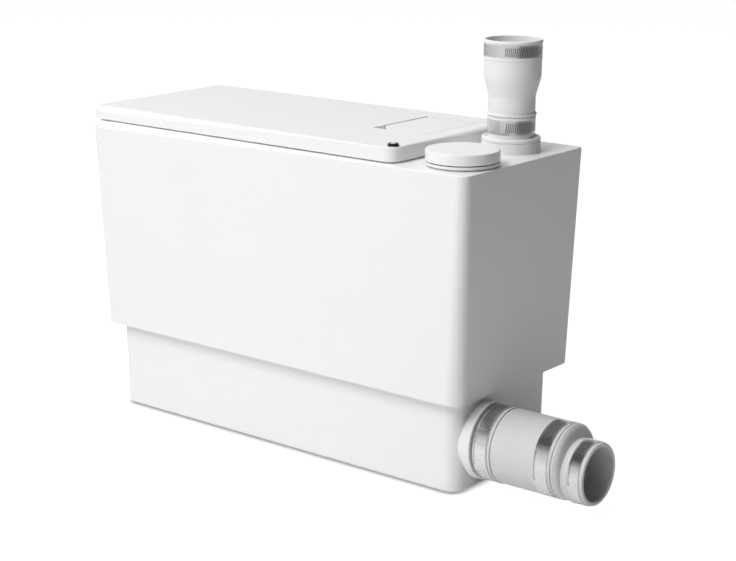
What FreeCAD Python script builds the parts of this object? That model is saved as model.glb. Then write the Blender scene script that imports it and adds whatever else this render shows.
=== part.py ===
import FreeCAD, Part
import math
import os

# Grey water pump: a floor-standing lifting unit for waste water from a basin, shower or washing machine.
# A narrow tank stands on the floor and carries a wider motor housing with a lid and a filter hatch.
# Frame: origin at the centre of the tank's footprint on the floor, X to the right, Y to the back, Z up.
# All sizes are in millimetres.

# Clearances
GAP = 0.3              # between pieces that move apart, or over a soft seal
RUN = 0.04             # radial play of a pin or shaft in its bore
THREAD_ROOM = 0.3      # radial room of a screw in its pilot hole

# Base pad and tank
PAD_THICKNESS = 1.5
PAD_INSET = 12.0
TANK_HEIGHT = 71.0
TANK_WALL = 3.5
TANK_DRAFT = 1.0       # how much each side leans in towards the foot
TANK_CORNER = 11.0
TANK_FOOT_ROUND = 2.0
TANK_BOSS_R = 6.0
TANK_BOSS_HEIGHT = 22.0
TANK_SCREW_FROM_LEFT = 24.4
TANK_SCREW_FROM_RIGHT = 54.4
TANK_SCREW_LEFT_OF_MOTOR = 67.0
TANK_SCREW_RIGHT_OF_MOTOR = 79.0
TANK_SCREW_INSET = 8.1
TANK_SCREW_R = 2.0
TANK_SCREW_HEAD_R = 3.8
TANK_SCREW_HEAD_HEIGHT = 3.0
SEAL_WIDTH = 1.9
SEAL_HEIGHT = 1.5
SEAL_INSET = 0.8

# Motor housing, the wide upper box, whose deck follows the lid and the strips beside it
END_STRIP = 66.7       # deck to the right of the lid
FRONT_STRIP = 5.2      # deck in front of the lid
LEFT_OVERHANG = 14.8   # deck beyond the tank's rim on each side
RIGHT_OVERHANG = 12.5
FRONT_OVERHANG = 12.2
BACK_OVERHANG = 19.2
HOUSING_HEIGHT = 170.0
HOUSING_WALL = 3.0
FLOOR_THICKNESS = 4.0
DECK_THICKNESS = 3.5
END_DRAFT = 5.3        # how much each wall leans in towards the bottom
FRONT_DRAFT = 3.2
BACK_DRAFT = 5.05
DECK_CORNER = 8.0
BACK_CORNER = 4.0
HOUSING_FOOT_CORNER = 12.0
FRONT_ROUND = 5.5      # soft front edge of the deck
EDGE_ROUND = 0.9       # the other edges of the deck are crisp
RIM_HEIGHT = 6.0       # small ledge that carries the overhanging lid at the left and the back
RIM_STOP = 16.0        # where the ledge ends, measured in from the lid's right end

# Lid
LID_LENGTH = 313.3
LID_DEPTH = 153.4
LID_LEFT_OVERHANG = 3.9
LID_BACK_OVERHANG = 5.0
LID_GAP = 0.9          # shadow gap between lid and deck
LID_HEIGHT = 10.9
LID_TOP = 3.0
LID_SKIRT = 2.5
LID_CORNER = 9.0
LID_ROUND = 5.0
LID_END_ROUND = 1.0    # the right end is crisper
OPENING_LEFT = 14.0    # margins from the lid's edges to the service opening under it
OPENING_RIGHT = 9.5
OPENING_FRONT = 18.0
OPENING_BACK = 19.0
OPENING_CORNER = 10.0
CURB_WIDTH = 3.5
GASKET_HEIGHT = 1.5
SCREW_FROM_END = 5.8
SCREW_FROM_FRONT = 7.3
SCREW_HEAD_R = 4.5
SCREW_HEAD_HEIGHT = 2.5
SCREW_HEAD_ROUND = 2.0
SCREW_SEAT_DEPTH = 2.8
SCREW_SHANK_R = 2.0
SCREW_LENGTH = 20.0
SCREW_POST_DEPTH = 12.0

# Filter hatch in the lid
HATCH_LENGTH = 50.5
HATCH_FROM_END = 15.2  # from the lid's right end
HATCH_FROM_FRONT = 60.1
HATCH_FROM_BACK = 24.3
HATCH_THICKNESS = 3.0
HATCH_GAP = 0.4
NOTCH_LENGTH = 14.4    # legs of the finger notch at the front left corner
NOTCH_WIDTH = 15.3
NOTCH_DEPTH = 4.6
LEDGE_WIDTH = 2.4
LEDGE_HEIGHT = 1.5
HINGE_SETBACK = 2.5
HINGE_DROP = 2.3
HINGE_BARREL_R = 2.2
HINGE_PIN_R = 1.0
HINGE_PIN_SEAT = 1.6
HATCH_EDGE_ROUND = 1.4
TRAY_WALL = 2.0
TRAY_DEPTH = 30.0
TRAY_VENT_R = 10.0
FILTER_ROOM = 0.6
VENT_R = 14.0
VENT_WALL = 2.0
VENT_BEHIND_MOTOR = 22.0

# Spare inlet on the deck, closed by a round cap
INLET_FROM_END = 27.8  # from the deck's right and front edges
INLET_FROM_FRONT = 35.4
INLET_RING_R = 26.9
INLET_RING_HEIGHT = 3.2
INLET_FOOT_R = 24.4    # the ring stands on a narrower foot
INLET_FOOT_HEIGHT = 1.4
INLET_BORE_R = 20.0
DUCT_WALL = 2.5
DUCT_LEAN_X = 16.0     # the duct leans inwards to meet the tank
DUCT_LEAN_Y = 7.0
CAP_R = 26.9
CAP_HEIGHT = 8.0
CAP_WALL = 2.2
CAP_ROUND = 0.8
CAP_PLUG_DEPTH = 6.0
CAP_SEAL_HEIGHT = 0.8
CAP_SEAL_INSET = 1.2

# Discharge: collar on the deck and the stepped rubber coupling
DISCHARGE_FROM_END = 34.0
COLLAR_BASE_R = 22.4
COLLAR_R = 22.0
COLLAR_HEIGHT = 11.3
COLLAR_RING = 2.8
COLLAR_GROOVE = 0.5
COLLAR_DISH_R = 19.4
COLLAR_DISH_DEPTH = 1.0
SPIGOT_R = 15.6
SPIGOT_BORE_R = 12.5
SPIGOT_REACH = 31.0    # above the deck
CUFF_R = 17.3
CUFF_CLAMP_LOW = 14.3
CUFF_CLAMP_HIGH = 24.4
CUFF_RING_R = 17.8
CUFF_RING_TOP = 27.3
CUFF_LIP_R = 18.45
CUFF_LIP_TOP = 29.2
NECK_R = 17.5
NECK_TOP = 41.5
BELL_START = 55.8
BELL_R = 21.36
BELL_END = 68.7
BELL_LIP_R = 21.7
BELL_LIP_TOP = 71.0
BELL_CLAMP_TOP = 79.8
BELL_SEAT_R = 21.0
FLANGE_R = 21.9
FLANGE_WAIST_R = 21.3
FLANGE_WAIST_LENGTH = 1.1
COUPLING_TOP = 83.2
COUPLING_WAIST_R = 14.6
COUPLING_BORE_R = 20.0
COUPLING_BORE_LENGTH = 27.0

# Hose clamps
BAND_THICKNESS = 0.5
BAND_ROOM = 0.1        # between the band and the rubber
WORM_HEIGHT = 6.6
WORM_LENGTH = 13.0
WORM_SCREW_R = 2.4
WORM_HEAD_R = 3.4
WORM_HEAD_LENGTH = 4.0
WORM_TAIL = 1.0
WORM_MARGIN = 0.4
WORM_SINK = 1.0        # how far the saddle wraps down beside the band
UPRIGHT_WORM_ANGLE = 128.0
SIDE_WORM_ANGLE = -18.0

# Side inlet low on the right
SIDE_INLET_FROM_FRONT = 31.6
SIDE_BOSS_UNDER_RIM = 5.2
SIDE_BOSS_OVER_FOOT = 6.8
SIDE_BOSS_WALL = 4.5
SIDE_BOSS_LENGTH = 9.6
SIDE_BOSS_ROUND = 1.0
SIDE_NECK_WALL = 1.2   # the boss stands off the tank on a narrower neck
SIDE_NECK_LENGTH = 3.2
SIDE_SPIGOT_WALL = 3.5
SIDE_SPIGOT_INSIDE = 3.0
SIDE_SPIGOT_REACH = 37.6
SLEEVE_START = 12.0    # from the tank's right wall
SLEEVE_SEAT_WALL = 2.9 # thickness of the rubber over the spigot at each place
SLEEVE_WALL = 3.0
SLEEVE_END_SEAT_WALL = 2.5
SLEEVE_BEAD_WALL = 3.5
SLEEVE_BEAD_START = 24.6
SLEEVE_BEAD_LENGTH = 3.0
SIDE_BAND_WIDTH = 11.4
END_BAND_START = 63.5
SLEEVE_END = 76.3
ADAPTER_MALE_START = 51.0
ADAPTER_LIP_WALL = 3.1
ADAPTER_LIP_LENGTH = 3.0
ADAPTER_LIP_RING = 1.2  # each of the two rings of the lip
ADAPTER_SHOULDER_WALL = 2.6
ADAPTER_ROUND_LENGTH = 4.0
ADAPTER_ROUND_STEPS = 5
FLUSH_STEP = 0.05      # the small end sits low, so that the bottoms are flush but for this
ADAPTER_SEAT_R = 23.0
ADAPTER_BAND_START = 6.0
ADAPTER_BEAD_RISE = 0.8
ADAPTER_BEAD_LENGTH = 2.0
ADAPTER_BAND_WIDTH = 9.0
ADAPTER_RIM_R = 22.9
ADAPTER_RIM_LENGTH = 3.0
ADAPTER_RIM_ROUND = 1.0
ADAPTER_BORE_R = 20.0
ADAPTER_BORE_LENGTH = 20.0
FLAP_INSET = 1.6
FLAP_THICKNESS = 2.0
FLAP_PIN_ABOVE = 2.4   # above the spigot's top
FLAP_PIN_R = 1.2
FLAP_PIN_HALF = 9.0
FLAP_BARREL_R = 2.4
FLAP_BARREL_HALF = 5.0
FLAP_EAR_WIDTH = 3.0
FLAP_EAR_R = 3.0

# Motor and pump
MOTOR_FROM_VENT = 11.75
MOTOR_SHIFT_Y = 1.425  # from the middle between the front and back walls
PLATE_MARGIN = 6.675   # between the motor plate and the housing's front and back walls
FLOOR_OPENING_INSET = 15.0
PLATE_THICKNESS = 5.0
PLATE_GASKET = 1.0
PLATE_GASKET_WIDTH = 12.0
PLATE_SCREW_INSET = 6.0
PLATE_SCREWS = 6
PLATE_SCREW_R = 2.0
PLATE_SCREW_HEAD_R = 3.8
PLATE_SCREW_HEAD_HEIGHT = 3.0
PLATE_SCREW_LENGTH = 9.0
NECK_OUT_R = 26.0
NECK_WALL = 5.0
BEARING_HUB_R = 20.0
BEARING_HUB_HEIGHT = 12.0
CAN_INSET = 14.0
CAN_WALL = 2.0
CAN_HEIGHT = 112.0
CAP_PLATE = 4.0
CAP_RIM = 6.0
CAP_DOME_ROUND = 1.3
TOP_HUB_R = 18.0
TOP_HUB_HEIGHT = 11.0
CAP_SCREW_INSET = 5.6
CAP_SCREWS = 4
CAP_SCREW_R = 1.8
CAP_SCREW_HEAD_R = 3.4
CAP_SCREW_HEAD_HEIGHT = 2.6
CAP_SCREW_LENGTH = 12.0
CAN_POST_R = 4.4
CAN_POST_HEIGHT = 14.0
STATOR_WIDTH = 19.6
STATOR_HEIGHT = 62.0
STATOR_RISE = 26.0     # above the motor plate
STATOR_SLOTS = 12
SLOT_WIDTH = 6.0
SLOT_START = 2.6       # slots from the stator's bore outwards
SLOT_LENGTH = 9.0
WINDING_HEIGHT = 11.0
WINDING_ROOM = 0.3
WINDING_ROUND = 2.75
AIR_GAP = 0.4
SHAFT_R = 6.0
SHAFT_TOP_R = 5.0
BEARING_OUT_R = 16.0
BEARING_WIDTH = 9.0
TOP_BEARING_R = 14.0
TOP_BEARING_WIDTH = 8.0
SEAL_R = 15.0
SEAL_LENGTH = 10.0
VOLUTE_R = 44.0
VOLUTE_HEIGHT = 38.0
VOLUTE_TOP = 4.0
VOLUTE_CAVITY_R = 36.0
VOLUTE_SHAFT_HOLE_R = 10.0
OUTLET_OFFSET = 28.5   # outlet axis behind the motor axis
OUTLET_R = 14.0
OUTLET_BORE_R = 11.0
OUTLET_LENGTH = 57.0
SUCTION_COVER_R = 40.0
SUCTION_COVER_THICKNESS = 4.0
SUCTION_EYE_R = 13.0
STRAINER_R = 30.0
STRAINER_WALL = 2.0
STRAINER_HEIGHT = 11.0
STRAINER_CLEARANCE = 4.0
STRAINER_SLOTS = 12
STRAINER_SLOT_WIDTH = 6.0
STRAINER_SLOT_HEIGHT = 8.0
COVER_SCREW_CIRCLE_R = 38.0
COVER_SCREWS = 4
COVER_SCREW_R = 1.5
COVER_SCREW_HEAD_R = 2.6
COVER_SCREW_HEAD_HEIGHT = 2.0
COVER_SCREW_LENGTH = 8.0
IMPELLER_R = 32.0
IMPELLER_DISC = 3.0
IMPELLER_VANES = 5
VANE_HEIGHT = 15.0
VANE_THICKNESS = 2.5
VANE_SWEEP = 70.0
VANE_SINK = 1.0        # how far the vanes reach into the hub
VANE_RIM = 1.0         # disc left free outside the vanes
IMPELLER_HUB_R = 10.0
IMPELLER_HUB_HEIGHT = 12.0
IMPELLER_TOP_ROOM = 3.0
IMPELLER_NUT_R = 9.0
IMPELLER_NUT_HEIGHT = 5.0

# Pressure pipe and check valve
SOCKET_WALL = 3.0
SOCKET_LENGTH = 12.0
ELBOW_RADIUS = 30.0
GROMMET_R = 19.0
GROMMET_HEIGHT = 2.5
GROMMET_WALL = 2.0
VALVE_RISE = 54.0      # valve seat piece above the housing's floor
VALVE_SOCKET_WALL = 4.0
VALVE_SOCKET_LENGTH = 10.0
SEAT_HEIGHT = 22.0
VALVE_R = 22.0
VALVE_CHAMBER_R = 19.0
VALVE_CHAMBER_HEIGHT = 35.0
VALVE_BODY_HEIGHT = 44.0
SEAT_FLANGE = 6.0
CHECK_FLAP_R = 13.4
CHECK_FLAP_THICKNESS = 2.5
CHECK_PIN_OFFSET = 14.8
CHECK_PIN_R = 1.2
CHECK_PIN_SEAT = 2.0
CHECK_BARREL_R = 2.3
CHECK_BARREL_HALF = 5.0
SPIGOT_FLANGE_R = 20.0
SPIGOT_FLANGE = 3.0

# Level control and electrical parts
SWITCH_SHIFT = 14.43   # air bell and switch, from the middle of their room towards the motor
SWITCH_Y = 0.0
AIR_BELL_R = 18.0
AIR_BELL_WALL = 2.0
AIR_BELL_LENGTH = 56.0
NIPPLE_R = 4.0
NIPPLE_BORE_R = 2.0
NIPPLE_HEIGHT = 15.0
HOSE_WALL = 1.6
HOSE_LENGTH = 66.0
HOSE_START = 4.0
SWITCH_R = 24.0
SWITCH_HEIGHT = 18.0
SWITCH_ROUND = 2.0
SWITCH_BOX = 26.0
SWITCH_BOX_HEIGHT = 16.0
BRACKET_WIDTH = 26.0
BRACKET_THICKNESS = 2.0
BRACKET_FOOT = 20.0
CAPACITOR_FROM_LEFT = 28.9
CAPACITOR_Y = 26.0
CAPACITOR_R = 18.0
CAPACITOR_HEIGHT = 74.0
CAPACITOR_ROUND = 2.0
CAPACITOR_TERMINAL_R = 3.0
CAPACITOR_TERMINAL_HEIGHT = 8.0
TERMINAL_FROM_LEFT = 30.9
TERMINAL_Y = -20.0
TERMINAL_LENGTH = 44.0
TERMINAL_WIDTH = 40.0
TERMINAL_HEIGHT = 46.0
TERMINAL_ROUND = 3.0
TERMINAL_GROOVE = 1.0
GLAND_FROM_LEFT = 59.2
GLAND_BELOW_DECK = 30.0
GLAND_PAD_R = 13.0
GLAND_PAD_STAND = 0.8
GLAND_THREAD_R = 6.0
GLAND_BORE_R = 3.5
GLAND_FLANGE_R = 9.5
GLAND_FLANGE = 2.2
GLAND_DOME_R = 8.0
GLAND_DOME = 2.6
GLAND_DOME_ROUND = 1.3
GLAND_INSIDE = 12.0
GLAND_NUT_R = 9.5
GLAND_NUT = 4.0
HEX_SIDES = 6

# Heights and places that follow from the sizes above
tank_base = PAD_THICKNESS
rim_z = tank_base + TANK_HEIGHT
floor_z = rim_z + FLOOR_THICKNESS
deck_z = rim_z + HOUSING_HEIGHT
deck_length = LID_LENGTH - LID_LEFT_OVERHANG + END_STRIP
deck_depth = LID_DEPTH - LID_BACK_OVERHANG + FRONT_STRIP
tank_right = (deck_length - LEFT_OVERHANG - RIGHT_OVERHANG) / 2
tank_back = (deck_depth - FRONT_OVERHANG - BACK_OVERHANG) / 2
deck_left = -tank_right - LEFT_OVERHANG
deck_right = tank_right + RIGHT_OVERHANG
deck_front = -tank_back - FRONT_OVERHANG
deck_back = tank_back + BACK_OVERHANG
lid_left = deck_left - LID_LEFT_OVERHANG
lid_right = lid_left + LID_LENGTH
lid_back = deck_back + LID_BACK_OVERHANG
lid_front = lid_back - LID_DEPTH
lid_z = deck_z + LID_GAP
lid_top_z = lid_z + LID_HEIGHT
lid_inside_z = lid_top_z - LID_TOP
lid_screw_x = lid_right - SCREW_FROM_END
lid_screw_y = lid_front + SCREW_FROM_FRONT
curb_top_z = lid_inside_z - GAP - GASKET_HEIGHT
hatch_right = lid_right - HATCH_FROM_END
hatch_left = hatch_right - HATCH_LENGTH
hatch_front = lid_front + HATCH_FROM_FRONT
hatch_back = lid_back - HATCH_FROM_BACK
hatch_bottom_z = lid_top_z - HATCH_THICKNESS
ledge_z = hatch_bottom_z - GAP
hinge_x = hatch_right - HINGE_SETBACK
hinge_z = lid_top_z - HINGE_DROP
tray_floor_z = lid_top_z - TRAY_DEPTH
vent_x = (hatch_left + hatch_right) / 2
motor_y = (deck_front + FRONT_DRAFT + deck_back - BACK_DRAFT) / 2 + MOTOR_SHIFT_Y
vent_y = motor_y + VENT_BEHIND_MOTOR
inlet_x = deck_right - INLET_FROM_END
inlet_y = deck_front + INLET_FROM_FRONT
discharge_x = deck_right - DISCHARGE_FROM_END
discharge_y = motor_y + OUTLET_OFFSET
side_boss_r = (TANK_HEIGHT - SIDE_BOSS_UNDER_RIM - SIDE_BOSS_OVER_FOOT) / 2
side_spigot_r = side_boss_r - SIDE_BOSS_WALL
side_bore_r = side_spigot_r - SIDE_SPIGOT_WALL
side_y = -tank_back + SIDE_INLET_FROM_FRONT
side_z = tank_base + SIDE_BOSS_OVER_FOOT + side_boss_r
sleeve_seat_r = side_spigot_r + SLEEVE_SEAT_WALL
sleeve_end_seat_r = side_spigot_r + SLEEVE_END_SEAT_WALL
adapter_shoulder_r = side_spigot_r + ADAPTER_SHOULDER_WALL
outlet_drop = adapter_shoulder_r - ADAPTER_SEAT_R - FLUSH_STEP
outlet_z = side_z - outlet_drop
sleeve_x = tank_right + SLEEVE_START
side_spigot_x = tank_right - TANK_WALL - SIDE_SPIGOT_INSIDE
flap_pin_x = side_spigot_x - GAP - FLAP_THICKNESS / 2
flap_pin_z = side_z + side_spigot_r + FLAP_PIN_ABOVE
adapter_lip_x = tank_right + SLEEVE_END + GAP
adapter_round_x = adapter_lip_x + ADAPTER_LIP_LENGTH
adapter_seat_x = adapter_round_x + ADAPTER_ROUND_LENGTH
adapter_end_x = adapter_seat_x + ADAPTER_BAND_START + ADAPTER_BAND_WIDTH + ADAPTER_RIM_LENGTH
plate_r = (deck_depth - FRONT_DRAFT - BACK_DRAFT) / 2 - HOUSING_WALL - PLATE_MARGIN
plate_screw_circle_r = plate_r - PLATE_SCREW_INSET
can_r = plate_r - CAN_INSET
cap_screw_circle_r = can_r - CAP_SCREW_INSET
stator_bore_r = can_r - CAN_WALL - STATOR_WIDTH
slot_start_r = stator_bore_r + SLOT_START
slot_end_r = slot_start_r + SLOT_LENGTH
motor_x = vent_x - plate_r - MOTOR_FROM_VENT
plate_z = floor_z + PLATE_GASKET
plate_top_z = plate_z + PLATE_THICKNESS
can_top_z = plate_top_z + CAN_HEIGHT
top_bearing_z = can_top_z - TOP_HUB_HEIGHT + CAP_PLATE
stator_z = plate_top_z + STATOR_RISE
volute_base_z = tank_base + TANK_WALL + STRAINER_CLEARANCE + STRAINER_HEIGHT
volute_top_z = volute_base_z + VOLUTE_HEIGHT
cavity_top_z = volute_top_z - VOLUTE_TOP
cavity_base_z = volute_base_z + SUCTION_COVER_THICKNESS
impeller_top_z = cavity_top_z - IMPELLER_TOP_ROOM
pipe_z = (cavity_top_z + cavity_base_z) / 2
valve_z = floor_z + VALVE_RISE
seat_z = valve_z + SEAT_HEIGHT
check_pin_z = seat_z + GAP + CHECK_BARREL_R + GAP
check_pin_x = discharge_x + CHECK_PIN_OFFSET
hose_z = floor_z + HOSE_START
switch_z = hose_z + HOSE_LENGTH + HOSE_START
room_left = deck_left + END_DRAFT + HOUSING_WALL
switch_x = (room_left + motor_x - can_r) / 2 + SWITCH_SHIFT
capacitor_x = room_left + CAPACITOR_FROM_LEFT
terminal_x = room_left + TERMINAL_FROM_LEFT
gland_x = deck_left + GLAND_FROM_LEFT
gland_z = deck_z - GLAND_BELOW_DECK
gland_pad_y = deck_back - BACK_DRAFT * GLAND_BELOW_DECK / HOUSING_HEIGHT + GLAND_PAD_STAND


QUARTER_TURN = math.pi / 2


def point(x, y, z):
    return FreeCAD.Vector(x, y, z)


UP = point(0, 0, 1)
DOWN = point(0, 0, -1)
RIGHT = point(1, 0, 0)
BACK = point(0, 1, 0)


def rounded_outline(x0, x1, y0, y1, front, z, back=None):
    """Closed rectangle seen from above, with a corner radius at the front and maybe another at the back."""
    back = front if back is None else back
    corners = [(x1 - front, y0 + front, front), (x1 - back, y1 - back, back),
               (x0 + back, y1 - back, back), (x0 + front, y0 + front, front)]
    arcs = []
    for turn, (cx, cy, radius) in enumerate(corners):
        ends = [QUARTER_TURN * (turn - 1 + share) for share in (0.0, 0.5, 1.0)]
        arcs.append([point(cx + radius * math.cos(a), cy + radius * math.sin(a), z) for a in ends])
    edges = []
    for turn, arc in enumerate(arcs):
        following = arcs[(turn + 1) % len(arcs)]
        edges.append(Part.Arc(arc[0], arc[1], arc[2]).toShape())
        edges.append(Part.LineSegment(arc[2], following[0]).toShape())
    return Part.Wire(edges)


def rounded_block(x0, x1, y0, y1, radius, z0, z1):
    face = Part.Face(rounded_outline(x0, x1, y0, y1, radius, z0))
    return face.extrude(point(0, 0, z1 - z0))


def block(x0, x1, y0, y1, z0, z1):
    return Part.makeBox(x1 - x0, y1 - y0, z1 - z0, point(x0, y0, z0))


def rod(radius, length, base, axis=UP):
    return Part.makeCylinder(radius, length, base, axis)


def tube(outer, inner, length, base, axis=UP):
    return rod(outer, length, base, axis).cut(rod(inner, length, base, axis))


def turned(profile, base, axis=UP):
    """Solid of revolution from (radius, height) corners."""
    corners = [point(r, 0, h) for r, h in profile]
    face = Part.Face(Part.makePolygon(corners + corners[:1]))
    solid = face.revolve(point(0, 0, 0), UP, 360)
    return placed(solid, base, axis)


def placed(solid, base, axis):
    solid.Placement = FreeCAD.Placement(base, FreeCAD.Rotation(UP, axis))
    return solid


def hexagon(radius, length, base, axis=UP):
    corners = [point(radius * math.cos(math.radians(360 * i / HEX_SIDES)),
                     radius * math.sin(math.radians(360 * i / HEX_SIDES)), 0) for i in range(HEX_SIDES)]
    face = Part.Face(Part.makePolygon(corners + corners[:1]))
    return placed(face.extrude(point(0, 0, length)), base, axis)


def ring_of(solid, count, centre, start=0.0):
    """Copies of a solid turned about an upright axis."""
    copies = []
    for i in range(count):
        copy = solid.copy()
        copy.rotate(centre, UP, start + 360.0 * i / count)
        copies.append(copy)
    return copies


def joined(solids):
    whole = solids[0].multiFuse(solids[1:])
    return whole.removeSplitter()


def edges_near(solid, wanted):
    """Edges whose whole run satisfies a test on its points."""
    return [edge for edge in solid.Edges
            if all(wanted(vertex.Point) for vertex in edge.Vertexes) and wanted(edge.CenterOfMass)]


def near(value, target, reach=0.01):
    return abs(value - target) < reach


def tank_block(z0, z1, inset, corner):
    """Drafted box of the tank between two heights, inset from its outer walls."""
    outlines = []
    for z in (z0, z1):
        lean = TANK_DRAFT * (rim_z - z) / TANK_HEIGHT + inset
        outlines.append(rounded_outline(-tank_right + lean, tank_right - lean,
                                        -tank_back + lean, tank_back - lean, corner, z))
    return Part.makeLoft(outlines, True, True)


def housing_block(z0, z1, inset):
    """Drafted box of the motor housing between two heights, inset from its outer walls."""
    outlines = []
    for z in (z0, z1):
        drop = (deck_z - z) / HOUSING_HEIGHT
        corner = DECK_CORNER + (HOUSING_FOOT_CORNER - DECK_CORNER) * drop
        outlines.append(rounded_outline(deck_left + END_DRAFT * drop + inset,
                                        deck_right - END_DRAFT * drop - inset,
                                        deck_front + FRONT_DRAFT * drop + inset,
                                        deck_back - BACK_DRAFT * drop - inset,
                                        corner - inset, z, BACK_CORNER - inset))
    return Part.makeLoft(outlines, True, True)


def tank_screw_places():
    side = tank_back - TANK_SCREW_INSET
    columns = (-tank_right + TANK_SCREW_FROM_LEFT, motor_x - TANK_SCREW_LEFT_OF_MOTOR,
               motor_x + TANK_SCREW_RIGHT_OF_MOTOR, tank_right - TANK_SCREW_FROM_RIGHT)
    return [(x, y) for x in columns for y in (-side, side)]


def base_pad():
    lean = TANK_DRAFT + PAD_INSET
    return rounded_block(-tank_right + lean, tank_right - lean, -tank_back + lean, tank_back - lean,
                         TANK_CORNER, 0.0, PAD_THICKNESS)


def tank():
    shell = tank_block(tank_base, rim_z, 0.0, TANK_CORNER)
    foot = edges_near(shell, lambda p: near(p.z, tank_base))
    shell = shell.makeFillet(TANK_FOOT_ROUND, foot)
    boss_start = point(0, side_y, side_z)
    boss_length = tank_right + SIDE_BOSS_LENGTH
    neck = rod(side_spigot_r + SIDE_NECK_WALL, boss_length, boss_start, RIGHT)
    boss = rod(side_boss_r, SIDE_BOSS_LENGTH - SIDE_NECK_LENGTH,
               point(tank_right + SIDE_NECK_LENGTH, side_y, side_z), RIGHT)
    boss = boss.makeFillet(SIDE_BOSS_ROUND, edges_near(boss, lambda p: near(p.x, boss_length)))
    shell = joined([shell, neck, boss])
    shell = shell.cut(tank_block(tank_base + TANK_WALL, rim_z, TANK_WALL, TANK_CORNER - TANK_WALL))
    shell = shell.cut(rod(side_spigot_r, boss_length, boss_start, RIGHT))
    posts = []
    for x, y in tank_screw_places():
        posts.append(rod(TANK_BOSS_R, TANK_BOSS_HEIGHT, point(x, y, rim_z - TANK_BOSS_HEIGHT)))
    inside = tank_block(tank_base, rim_z, TANK_WALL / 2, TANK_CORNER - TANK_WALL / 2)
    shell = joined([shell] + [post.common(inside) for post in posts])
    for x, y in tank_screw_places():
        shell = shell.cut(rod(TANK_SCREW_R, TANK_BOSS_HEIGHT, point(x, y, rim_z - TANK_BOSS_HEIGHT)))
    return shell


def seal_ring(room):
    """Ring that lies on the tank's rim; room widens it for the groove."""
    outer = SEAL_INSET - room
    inner = SEAL_INSET + SEAL_WIDTH + room
    ring = rounded_block(-tank_right + outer, tank_right - outer, -tank_back + outer, tank_back - outer,
                         TANK_CORNER - outer, rim_z, rim_z + SEAL_HEIGHT)
    hole = rounded_block(-tank_right + inner, tank_right - inner, -tank_back + inner, tank_back - inner,
                         TANK_CORNER - inner, rim_z, rim_z + SEAL_HEIGHT)
    return ring.cut(hole)


def round_top_edges(shell, top, radius_at):
    """Rounded edges along a flat top, with the radius changing round the corners where it has to."""
    document = FreeCAD.newDocument("edges")
    source = document.addObject("Part::Feature", "shell")
    source.Shape = shell
    rounding = document.addObject("Part::Fillet", "rounding")
    rounding.Base = source
    chosen = []
    for number, edge in enumerate(source.Shape.Edges, start=1):
        if all(near(vertex.Point.z, top) for vertex in edge.Vertexes):
            chosen.append((number, radius_at(edge.firstVertex(True).Point),
                           radius_at(edge.lastVertex(True).Point)))
    rounding.Edges = chosen
    document.recompute()
    result = rounding.Shape.copy()
    FreeCAD.closeDocument(document.Name)
    return result


def opening_block(margin, z0, z1):
    """Service opening under the lid, widened by a margin."""
    return rounded_block(lid_left + OPENING_LEFT - margin, lid_right - OPENING_RIGHT + margin,
                         lid_front + OPENING_FRONT - margin, lid_back - OPENING_BACK + margin,
                         OPENING_CORNER + margin, z0, z1)


def lid_rim():
    """Sloping ledge of the housing under the lid's overhang at the left and the back."""
    stop = lid_right - RIM_STOP
    low = rounded_outline(deck_left, stop, (deck_front + deck_back) / 2, deck_back, BACK_CORNER,
                          deck_z - RIM_HEIGHT)
    high = rounded_outline(lid_left + EDGE_ROUND, stop, (deck_front + deck_back) / 2,
                           lid_back - EDGE_ROUND, LID_CORNER - EDGE_ROUND, deck_z)
    return Part.makeLoft([low, high], True, True)


def inlet_duct_block(radius):
    """Leaning round duct from the deck's underside to the housing's floor."""
    top = Part.Wire(Part.makeCircle(radius, point(inlet_x, inlet_y, deck_z - DECK_THICKNESS)))
    foot = Part.Wire(Part.makeCircle(radius, point(inlet_x - DUCT_LEAN_X, inlet_y + DUCT_LEAN_Y, rim_z)))
    return Part.makeLoft([foot, top], True, True)


def upper_housing():
    shell = housing_block(rim_z, deck_z, 0.0)
    shell = round_top_edges(shell, deck_z, lambda p: FRONT_ROUND if near(p.y, deck_front) else EDGE_ROUND)
    shell = shell.fuse(lid_rim())
    pad_start = point(gland_x, gland_pad_y - HOUSING_WALL, gland_z)
    shell = shell.fuse(rod(GLAND_PAD_R, HOUSING_WALL, pad_start, BACK))
    shell = shell.cut(housing_block(floor_z, deck_z - DECK_THICKNESS, HOUSING_WALL))
    curb = opening_block(CURB_WIDTH, deck_z - DECK_THICKNESS, curb_top_z)
    foot = rod(INLET_FOOT_R, INLET_FOOT_HEIGHT + DECK_THICKNESS,
               point(inlet_x, inlet_y, deck_z - DECK_THICKNESS))
    ring = rod(INLET_RING_R, INLET_RING_HEIGHT - INLET_FOOT_HEIGHT,
               point(inlet_x, inlet_y, deck_z + INLET_FOOT_HEIGHT))
    post = rod(SCREW_HEAD_R, SCREW_POST_DEPTH, point(lid_screw_x, lid_screw_y, deck_z - SCREW_POST_DEPTH))
    shell = joined([shell, curb, foot, ring, post])
    shell = shell.cut(opening_block(0.0, deck_z - DECK_THICKNESS, curb_top_z))
    return shell.cut(Part.makeCompound(housing_holes()))


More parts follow.
